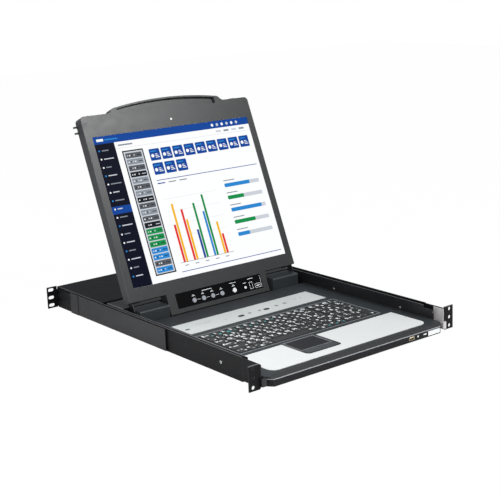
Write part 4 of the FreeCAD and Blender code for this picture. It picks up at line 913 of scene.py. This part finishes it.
def area_light(name, place, size, power):
    """A round lamp of a size in metres and a power in watts, turned to the object's middle."""
    data = bpy.data.lights.new(name, "AREA")
    data.shape = "DISK"
    data.size = size
    data.energy = power
    made = bpy.data.objects.new(name, data)
    made.location = place
    made.rotation_euler = (MIDDLE - Vector(place)).to_track_quat("-Z", "Y").to_euler()
    bpy.context.scene.collection.objects.link(made)


area_light("key", (-0.85, -0.4, 0.95), 0.8, 13.5)
area_light("sheen", (0.9, -1.1, 1.78), 0.5, 28.0)
area_light("back", (-1.3, 2.3, 1.4), 1.4, 22.0)

# The camera sees a white surrounding. The object is lit by a dimmer, cooler one.
SKY, SKY_STRENGTH = (0.92, 0.95, 1.0, 1.0), 0.35
WHITE = (1.0, 1.0, 1.0, 1.0)
world = bpy.data.worlds.new("studio")
bpy.context.scene.world = world
world.use_nodes = True
tree = world.node_tree
tree.nodes.clear()
output = tree.nodes.new("ShaderNodeOutputWorld")
light = tree.nodes.new("ShaderNodeBackground")
light.inputs["Color"].default_value = SKY
light.inputs["Strength"].default_value = SKY_STRENGTH
seen = tree.nodes.new("ShaderNodeBackground")
seen.inputs["Color"].default_value = WHITE
seen.inputs["Strength"].default_value = 1.0
path = tree.nodes.new("ShaderNodeLightPath")
mix = tree.nodes.new("ShaderNodeMixShader")
tree.links.new(path.outputs["Is Camera Ray"], mix.inputs["Fac"])
tree.links.new(light.outputs["Background"], mix.inputs[1])
tree.links.new(seen.outputs["Background"], mix.inputs[2])
tree.links.new(mix.outputs["Shader"], output.inputs["Surface"])

# A white floor just under the object. The camera sees nearly all of it as glowing paper, so that only
# a faint shadow shows.
FLOOR_DROP, FLOOR_REACH, PAPER_GLOW = 0.2 * MM, 6.0, 0.985
floor_mesh = bpy.data.meshes.new("floor")
level = cad_box[0][2] - FLOOR_DROP
floor_corners = [(x * FLOOR_REACH, y * FLOOR_REACH, level) for x, y in ((-1, -1), (1, -1), (1, 1), (-1, 1))]
floor_mesh.from_pydata(floor_corners, [], [(0, 1, 2, 3)])
floor = bpy.data.objects.new("floor", floor_mesh)
bpy.context.scene.collection.objects.link(floor)
paper = plain("floor_paper", srgb(250, 250, 250), 0.9, 0.004)
glow = paper.node("ShaderNodeEmission")
glow.inputs["Color"].default_value = WHITE
seen_only = paper.node("ShaderNodeMath", operation="MULTIPLY")
seen_only.inputs[1].default_value = PAPER_GLOW
paper.link(paper.node("ShaderNodeLightPath").outputs["Is Camera Ray"], seen_only.inputs[0])
blend = paper.node("ShaderNodeMixShader")
paper.link(seen_only.outputs["Value"], blend.inputs["Fac"])
paper.link(paper.shader.outputs["BSDF"], blend.inputs[1])
paper.link(glow.outputs["Emission"], blend.inputs[2])
paper.link(blend.outputs["Shader"], paper.tree.nodes["Material Output"].inputs["Surface"])
floor_mesh.materials.append(paper.material)

bpy.context.scene.view_settings.view_transform = "Standard"
